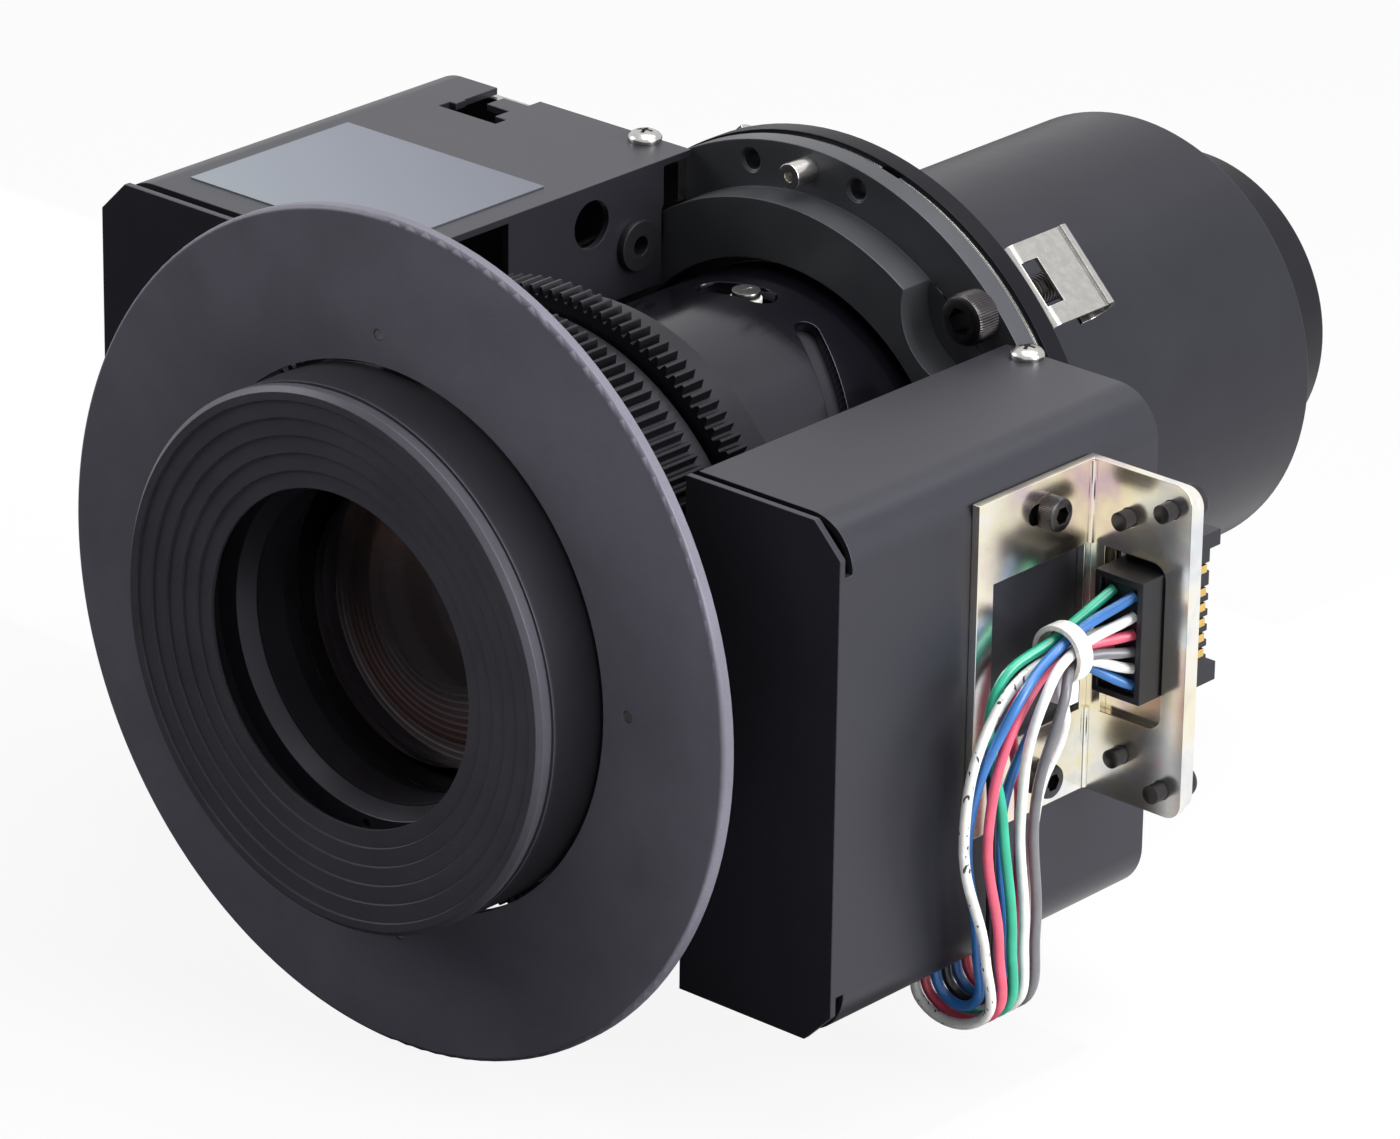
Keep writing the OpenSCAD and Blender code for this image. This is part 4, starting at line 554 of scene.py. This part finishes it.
# %% Turn a bmesh into a finished piece
def finish_mesh(bm, name, material, body, replaced, sharp=32):
    """A finished bmesh, in metres, becomes a smooth piece that rides on its body."""
    mesh = bpy.data.meshes.new(name)
    bm.to_mesh(mesh)
    bm.free()
    mesh.materials.append(material)
    mesh.shade_smooth()
    mesh.set_sharp_from_angle(angle=radians(sharp))
    piece = bpy.data.objects.new(name, mesh)
    bpy.context.scene.collection.objects.link(piece)
    modifier = piece.modifiers.new("weighted", "WEIGHTED_NORMAL")
    modifier.keep_sharp = True
    modifier.weight = 60
    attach(piece, body)
    if replaced:
        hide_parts(*replaced)


# %% Bevel a copy of a CAD node
WELD = 0.002 * MM
FLAT_ANGLE = 0.4
BEVEL_ANGLE = 30
BEVEL_SEGMENTS = 2


def soften(node, material, width):
    bm = bmesh.new()
    bm.from_mesh(nodes[node].data)
    bmesh.ops.remove_doubles(bm, verts=bm.verts, dist=WELD)
    bmesh.ops.dissolve_limit(bm, angle_limit=radians(FLAT_ANGLE), verts=bm.verts,
                             edges=bm.edges, delimit=set())
    sharp = [e for e in bm.edges
             if e.is_manifold and e.calc_face_angle(0) > radians(BEVEL_ANGLE)]
    if width:
        bmesh.ops.bevel(bm, geom=sharp, offset=width * MM, offset_type="OFFSET",
                        segments=BEVEL_SEGMENTS, profile=0.5, affect="EDGES",
                        clamp_overlap=False, material=-1)
    finish_mesh(bm, node + "_piece", material, body_of_node[node], [node])


# %% Soften the visible nodes, each with its finish and the width of its bevel
SOFTENED = [
    ("front_disc", disc_paint, 0), ("hood_ring", hood_black, 0.12),
    ("front_retainer", cell_grey, 0.12), ("front_cell", cell_grey, 0.1),
    ("inner_cell", cell_grey, 0.1), ("focus_gear_ring", gear_black, 0.07),
    ("zoom_gear_ring", gear_black, 0.07), ("guide_tube", hood_black, 0.1),
    ("cam_barrel", gloss_black, 0.15), ("mount_flange", flange_grey, 0.2),
    ("back_plate", plate_black, 0.2), ("flange_shims", bright_steel, 0.05),
    ("locating_posts", steel, 0.2), ("stud_clips", bright_steel, 0.1),
    ("rear_barrel", barrel_grey, 0.15), ("rear_ring", ring_black, 0.15),
    ("right_cover", cover_black, 0.12), ("left_cover", cover_black, 0.12),
    ("connector_bracket", zinc, 0.12), ("connector_plate", zinc, 0.12),
    ("wire_housing", plastic_black, 0.15), ("drawer_connector", plastic_black, 0.12),
    ("gold_contacts", gold_plate, 0.08), ("cable_tie", nylon_white, 0.15),
    ("wall_grommet", rubber_black, 0.2), ("cam_rollers", nylon_white, 0.12),
    ("roller_screws", bright_steel, 0.08), ("label_plate", label_silver, 0.05),
]
for node, material, width in SOFTENED:
    soften(node, material, width)
print("softened", len(SOFTENED), "nodes")

# %% [markdown]
# ## Socket screws
# A cap screw is turned, so one spin of its side view makes head and thread together. The thread is
# a row of rings, which looks the same as a helix at this size. Every second vertex of the head's
# wall is drawn in a little, which gives the knurl. The mouth of the socket is the spin's open edge
# pushed out to a hexagon and drawn down to its floor.

# %% Spin the cap screws
KNURL_STEPS = 120
KNURL_DRAW = 0.965
NEAR = 0.001


def cap_screw(head_r, head_h, hex_flat, hex_depth, shank_r, reach, pitch, chamfer):
    """A screw along +Y with its seat at y 0, head towards -Y, in millimetres."""
    profile = [(hex_flat, -head_h), (head_r - chamfer, -head_h), (head_r - chamfer * 0.3,
               -head_h + chamfer * 0.3), (head_r, -head_h + chamfer), (head_r, -chamfer * 0.5),
               (head_r - chamfer * 0.5, 0), (shank_r, 0)]
    root_r = shank_r - pitch * 0.5
    for turn in range(int(reach / pitch)):
        profile += [(shank_r, (turn + 0.35) * pitch), (root_r, (turn + 0.75) * pitch),
                    (shank_r, (turn + 1) * pitch)]
    profile += [(shank_r * 0.8, reach), (0, reach)]
    bm = bmesh.new()
    ring = [bm.verts.new((r, y, 0)) for r, y in profile]
    edges = [bm.edges.new(pair) for pair in zip(ring[:-1], ring[1:])]
    bmesh.ops.spin(bm, geom=ring + edges, cent=(0, 0, 0), axis=(0, 1, 0), angle=2 * pi,
                   steps=KNURL_STEPS, use_merge=True)
    bmesh.ops.remove_doubles(bm, verts=bm.verts, dist=NEAR)
    for v in bm.verts:
        r, angle = sqrt(v.co.x ** 2 + v.co.z ** 2), atan2(v.co.z, v.co.x)
        step = round(angle / (2 * pi) * KNURL_STEPS)
        if abs(r - head_r) < NEAR and step % 2:
            v.co.x, v.co.z = v.co.x * KNURL_DRAW, v.co.z * KNURL_DRAW
        if abs(r - hex_flat) < NEAR and abs(v.co.y + head_h) < NEAR:
            grow = 1 / cos((angle % (pi / 3)) - pi / 6)
            v.co.x, v.co.z = v.co.x * grow, v.co.z * grow
    rim = [e for e in bm.edges if e.is_boundary]
    drawn = bmesh.ops.extrude_edge_only(bm, edges=rim)["geom"]
    floor_verts = [v for v in drawn if isinstance(v, bmesh.types.BMVert)]
    bmesh.ops.translate(bm, verts=floor_verts, vec=(0, hex_depth, 0))
    bmesh.ops.contextual_create(bm, geom=[e for e in drawn if isinstance(e, bmesh.types.BMEdge)
                                          and e.is_boundary])
    bmesh.ops.recalc_face_normals(bm, faces=bm.faces)
    return bm


# %% [markdown]
# ## Where the socket screws sit
# How deep a screw sits is read from its CAD solid, so each head lies on its seat. Four M5 screws
# stand on the bolt circle, two M3 screws hold the bracket on the cover, and four more hold the
# bracket and the plate behind it together.

# %% Place the socket screws
def place_screws(node, material, places, turn=None, **sizes):
    """One piece per screw; places are the seats, turn points the screw along another axis."""
    for number, place in enumerate(places):
        bm = cap_screw(**sizes)
        if turn:
            bmesh.ops.rotate(bm, verts=bm.verts, cent=(0, 0, 0), matrix=turn)
        bmesh.ops.translate(bm, verts=bm.verts, vec=place)
        bmesh.ops.scale(bm, verts=bm.verts, vec=(MM, MM, MM))
        finish_mesh(bm, f"{node}_{number}", material, body_of_node[node],
                    [node], sharp=28)


def reach_of(node, axis):
    """The least and the greatest place of a CAD node along an axis, in millimetres."""
    values = [v.co[axis] / MM for v in nodes[node].data.vertices]
    return min(values), max(values)


BOLT_CIRCLE_R = 50.6
M5_HEAD_H = 5.0
head_end, shank_end = reach_of("flange_screws", 1)
seat = head_end + M5_HEAD_H
place_screws("flange_screws", black_oxide,
             [(BOLT_CIRCLE_R * cos(angle), seat, BOLT_CIRCLE_R * sin(angle))
              for angle in (pi / 4 + k * pi / 2 for k in range(4))],
             head_r=4.25, head_h=M5_HEAD_H, hex_flat=2.0, hex_depth=2.6, shank_r=2.5,
             reach=shank_end - seat, pitch=0.8, chamfer=1.0)
M3_HEAD_H = 3.0
BRACKET_SCREW_Y, BRACKET_SCREW_Z = -38.0, 22.1
CONNECTOR_SCREW_XZ = (88.8, 23.2), (80.8, 19.7)
M3 = dict(head_r=2.75, head_h=M3_HEAD_H, hex_flat=1.27, hex_depth=1.6, shank_r=1.5, pitch=0.5,
          chamfer=0.55)
shank_end, head_end = reach_of("bracket_screws", 0)
place_screws("bracket_screws", black_oxide,
             [(head_end - M3_HEAD_H, BRACKET_SCREW_Y, side * BRACKET_SCREW_Z)
              for side in (-1, 1)],
             turn=Matrix.Rotation(pi / 2, 3, "Z"), reach=head_end - M3_HEAD_H - shank_end, **M3)
shank_end, head_end = reach_of("connector_screws", 1)
place_screws("connector_screws", black_oxide,
             [(x, head_end - M3_HEAD_H, side * z)
              for x, z in CONNECTOR_SCREW_XZ for side in (-1, 1)],
             turn=Matrix.Rotation(pi, 3, "Z"), reach=head_end - M3_HEAD_H - shank_end, **M3)
print("socket screws placed")

# %% [markdown]
# ## Pan head screws
# The covers are held by small plated pan heads. The dome is a quarter ellipse spun round, and the
# cross recess is cut out of it with a real cutter, which is thrown away afterwards. The screws are
# loose solids of one CAD node, so the box of each one says where its screw goes.

# %% Cut one mesh out of another
def solid_piece(bm, name):
    mesh = bpy.data.meshes.new(name)
    bm.to_mesh(mesh)
    bm.free()
    piece = bpy.data.objects.new(name, mesh)
    bpy.context.scene.collection.objects.link(piece)
    return piece


def carved(bm, cutter):
    """The first mesh less the second, as a new bmesh."""
    pieces = solid_piece(bm, "blank"), solid_piece(cutter, "cutter")
    carve = pieces[0].modifiers.new("carve", "BOOLEAN")
    carve.operation, carve.solver, carve.object = "DIFFERENCE", "EXACT", pieces[1]
    view = bpy.context.evaluated_depsgraph_get()
    mesh = bpy.data.meshes.new_from_object(pieces[0].evaluated_get(view))
    result = bmesh.new()
    result.from_mesh(mesh)
    for piece in pieces:
        old = piece.data
        bpy.data.objects.remove(piece)
        bpy.data.meshes.remove(old)
    bpy.data.meshes.remove(mesh)
    return result


# %% Find the loose solids of a node
def islands(node):
    """The box of each loose solid of a node, in millimetres."""
    bm = bmesh.new()
    bm.from_mesh(nodes[node].data)
    bmesh.ops.remove_doubles(bm, verts=bm.verts, dist=WELD)
    left, boxes = set(bm.verts), []
    while left:
        todo, found = [left.pop()], []
        while todo:
            v = todo.pop()
            found.append(v.co / MM)
            for edge in v.link_edges:
                other = edge.other_vert(v)
                if other in left:
                    left.remove(other)
                    todo.append(other)
        boxes.append([(min(c[k] for c in found), max(c[k] for c in found)) for k in range(3)])
    bm.free()
    return boxes


# %% Spin the pan heads and cut their crosses
PAN_R, PAN_H, PAN_RIM, SHANK_R = 2.8, 1.9, 0.5, 1.5
PAN_STEPS, DOME_STEPS, CROSS_TURN = 48, 10, 20
CROSS_LONG, CROSS_WIDE, CROSS_DEEP = 2.6, 0.62, 1.0


def pan_screw(length):
    """A pan head screw along Z with its seat at z 0, in millimetres."""
    dome = [(PAN_R * sin(a), PAN_RIM + (PAN_H - PAN_RIM) * cos(a))
            for a in (k * pi / (2 * DOME_STEPS) for k in range(DOME_STEPS + 1))]
    profile = dome + [(PAN_R - 0.12, 0), (SHANK_R, 0), (SHANK_R, -length), (0, -length)]
    bm = bmesh.new()
    ring = [bm.verts.new((r, 0, z)) for r, z in profile]
    edges = [bm.edges.new(pair) for pair in zip(ring[:-1], ring[1:])]
    bmesh.ops.spin(bm, geom=ring + edges, cent=(0, 0, 0), axis=(0, 0, 1), angle=2 * pi,
                   steps=PAN_STEPS, use_merge=True)
    bmesh.ops.remove_doubles(bm, verts=bm.verts, dist=NEAR)
    bmesh.ops.recalc_face_normals(bm, faces=bm.faces)
    for size in ((CROSS_LONG, CROSS_WIDE), (CROSS_WIDE, CROSS_LONG)):
        cutter = bmesh.new()
        bmesh.ops.create_cube(cutter, size=1)
        bmesh.ops.scale(cutter, verts=cutter.verts, vec=(*size, 2 * CROSS_DEEP))
        bmesh.ops.translate(cutter, verts=cutter.verts, vec=(0, 0, PAN_H))
        bm = carved(bm, cutter)
    return bm


# %% Place the pan heads
for number, ((x0, x1), (y0, y1), (z0, z1)) in enumerate(islands("cover_screws")):
    bm = pan_screw(z1 - z0 - PAN_H)
    bmesh.ops.rotate(bm, verts=bm.verts, cent=(0, 0, 0),
                     matrix=Matrix.Rotation(radians(CROSS_TURN), 3, "Z"))
    if z1 < 0:
        bmesh.ops.rotate(bm, verts=bm.verts, cent=(0, 0, 0),
                         matrix=Matrix.Rotation(pi, 3, "X"))
    seat = z1 - PAN_H if z1 > 0 else z0 + PAN_H
    bmesh.ops.translate(bm, verts=bm.verts, vec=((x0 + x1) / 2, (y0 + y1) / 2, seat))
    bmesh.ops.scale(bm, verts=bm.verts, vec=(MM, MM, MM))
    finish_mesh(bm, f"cover_screw_{number}", bright_steel, "lens_base",
                ["cover_screws"], sharp=40)
print("pan heads placed")

# %% [markdown]
# ## The fold of the bracket
# Folded sheet has a small radius inside the fold, which shows as one bright line. A thin rod, sunk
# into the inner corner above and below the window, leaves just that round of metal in sight.

# %% Round the inside of the fold
FOLD_R = 0.55
FOLD_SUNK = FOLD_R * 0.1
WINDOW_HALF = 13.7
SHEET_T = 1.5
TOP_GAP = 0.3
bracket_box = [reach_of("connector_bracket", axis) for axis in range(3)]
fold_x, fold_y = bracket_box[0][0] + SHEET_T, bracket_box[1][1] - SHEET_T
fold_top = bracket_box[2][1] - TOP_GAP
for side in (-1, 1):
    bm = bmesh.new()
    bmesh.ops.create_cone(bm, cap_ends=True, segments=24, radius1=FOLD_R * MM, radius2=FOLD_R * MM,
                          depth=(fold_top - WINDOW_HALF) * MM)
    bmesh.ops.translate(bm, verts=bm.verts, vec=(
        (fold_x + FOLD_SUNK) * MM, (fold_y - FOLD_SUNK) * MM,
        side * (fold_top + WINDOW_HALF) / 2 * MM))
    finish_mesh(bm, f"fold_{'low' if side < 0 else 'high'}", zinc, "lens_base",
                None)
print("fold rounded")

# %% [markdown]
# ## The parts that stay as they are
# Inside the covers and behind the flange the CAD shapes are already right, so they only get a
# finish.

# %% Finish the inner parts
KEPT = {
    "disc_screws": steel, "front_lens": front_glass, "inner_lens": painted_reflex_lens,
    "focus_pins": steel, "focus_keeper_ring": steel, "barrel_washers": nylon_white,
    "zoom_cell": inside_black, "zoom_lens": inner_glass, "barrel_screws": black_oxide,
    "rear_lens": front_glass, "rear_retainer": plate_black, "right_frame": bright_steel,
    "left_frame": bright_steel, "right_motor_plate": bright_steel,
    "left_motor_plate": bright_steel, "standoffs": steel, "focus_motor": bright_steel,
    "focus_gearbox": cell_grey, "focus_pinion": brass, "zoom_motor": bright_steel,
    "zoom_gearbox": cell_grey, "zoom_pinion": brass, "limit_switches": plastic_black,
    "terminal_board": board_green, "board_spacers": steel, "board_socket": nylon_white,
    "bracket_nut_plate": bright_steel,
}
for node, material in KEPT.items():
    mesh = nodes[node].data
    mesh.materials.clear()
    mesh.materials.append(material)
print(len(KEPT), "nodes keep their own mesh")

# %% [markdown]
# ## The studio
# A plain pale floor and a white surround. Both glow white for the camera and for the rays that a
# gloss or a glass sends on, so that metal and glass show the white too. The light that reaches the
# object from them is much weaker, and the floor keeps a tenth of its real look, with the shadow.

# %% The rays that see white
def seen_ray(tree):
    """1 for the rays of the camera, of a gloss or of a glass, 0 for all others."""
    camera_ray, gloss_ray, glass_ray = (
        add_node(tree, "ShaderNodeLightPath", out=f"Is {kind} Ray")
        for kind in ("Camera", "Glossy", "Transmission"))
    return (camera_ray + gloss_ray + glass_ray).maths("MINIMUM", 1.0)


# %% The floor
FLOOR_Z = -69.0
FLOOR_HALF = 3.0
FLOOR_GLOW = 0.9


def floor_finish():
    f = Finish("pale_floor", (0.86, 0.86, 0.86), 0.7)
    f.set("Roughness", 0.65 + f.noise(0.01, 3.0) * 0.1)
    glow = add_node(f.tree, "ShaderNodeEmission", inputs={"Color": WHITE, "Strength": 1.0})
    plain = Value(f.tree, f.shader.outputs[0])
    mixed = add_node(f.tree, "ShaderNodeMixShader",
                     inputs={0: seen_ray(f.tree) * FLOOR_GLOW, 1: plain, 2: glow})
    f.tree.links.new(mixed.socket, f.output.inputs["Surface"])
    return f.material


bm = bmesh.new()
bmesh.ops.create_grid(bm, x_segments=1, y_segments=1, size=FLOOR_HALF)
bmesh.ops.translate(bm, verts=bm.verts, vec=(0, 0, FLOOR_Z * MM))
floor_mesh = bpy.data.meshes.new("floor")
bm.to_mesh(floor_mesh)
bm.free()
floor_mesh.materials.append(floor_finish())
floor = bpy.data.objects.new("floor", floor_mesh)
bpy.context.scene.collection.objects.link(floor)
print("floor", FLOOR_Z, "mm from the lens axis")

# %% The surround
SKY_LIGHT = 0.22
world = bpy.data.worlds.new("studio")
bpy.context.scene.world = world
world.use_nodes = True
tree = world.node_tree
tree.nodes.clear()
sky = add_node(tree, "ShaderNodeBackground", inputs={
    "Color": WHITE, "Strength": SKY_LIGHT + seen_ray(tree) * (1 - SKY_LIGHT)})
tree.links.new(sky.socket, tree.nodes.new("ShaderNodeOutputWorld").inputs[0])
print("the surround gives", SKY_LIGHT, "of its white as light")

# %% [markdown]
# ## Lamps
# Three wide soft lamps light the object plainly: a large one above, a weak one at the left and one
# at the right, which draws the bright edges of the covers. Places are in metres, power in watts.

# %% Soft lamps
def softbox(name, place, target, size, power):
    light = bpy.data.lights.new(name, "AREA")
    light.shape = "RECTANGLE"
    light.size, light.size_y = size
    light.energy = power
    lamp = bpy.data.objects.new(name, light)
    bpy.context.scene.collection.objects.link(lamp)
    lamp.location = place
    lamp.rotation_euler = (Vector(target) - Vector(place)).to_track_quat("-Z", "Y").to_euler()


softbox("top_softbox", (0.15, 0.1, 0.9), (0, -0.03, 0), (0.8, 0.8), 8)
softbox("left_softbox", (-0.9, -0.5, 0.5), (0, -0.05, 0), (0.5, 0.6), 4.0)
softbox("right_softbox", (0.9, 0.1, 0.4), (0, -0.03, 0), (0.5, 0.8), 11)
print(len(bpy.data.lights), "lamps")

# %% [markdown]
# ## Dark cards
# A photographer darkens the front of a black object with cards that stand just outside the
# picture. One lies on the floor before the lens, one stands beyond it, and one lies on the floor
# at the rear left. The camera doesn't see them and they cast no shadow. Only reflections, bounced
# light and what is seen through the glass meet them.

# %% Cards round the lens
CARD_LIFT = 0.5


def dark_card(name, centre, size, turn):
    f = Finish(name + "_cloth", (0.012, 0.012, 0.014), 0.9)
    f.set("Roughness", 0.85 + f.noise(0.02) * 0.1)
    bm = bmesh.new()
    bmesh.ops.create_grid(bm, x_segments=1, y_segments=1, size=0.5)
    bmesh.ops.scale(bm, verts=bm.verts, vec=(*size, 1))
    bmesh.ops.rotate(bm, verts=bm.verts, cent=(0, 0, 0), matrix=Matrix.Rotation(turn, 3, "X"))
    bmesh.ops.translate(bm, verts=bm.verts, vec=centre)
    mesh = bpy.data.meshes.new(name)
    bm.to_mesh(mesh)
    bm.free()
    mesh.materials.append(f.material)
    card = bpy.data.objects.new(name, mesh)
    bpy.context.scene.collection.objects.link(card)
    card.visible_camera = card.visible_shadow = False


card_z = (FLOOR_Z + CARD_LIFT) * MM
dark_card("floor_card", (-0.66, -0.79, card_z), (1.48, 1.52), 0.0)
dark_card("standing_card", (-0.45, -1.30, 0.20), (1.5, 0.55), pi / 2)
dark_card("rear_card", (-0.70, 0.81, card_z), (1.4, 1.38), 0.0)
print("cards lie", CARD_LIFT, "mm above the floor")
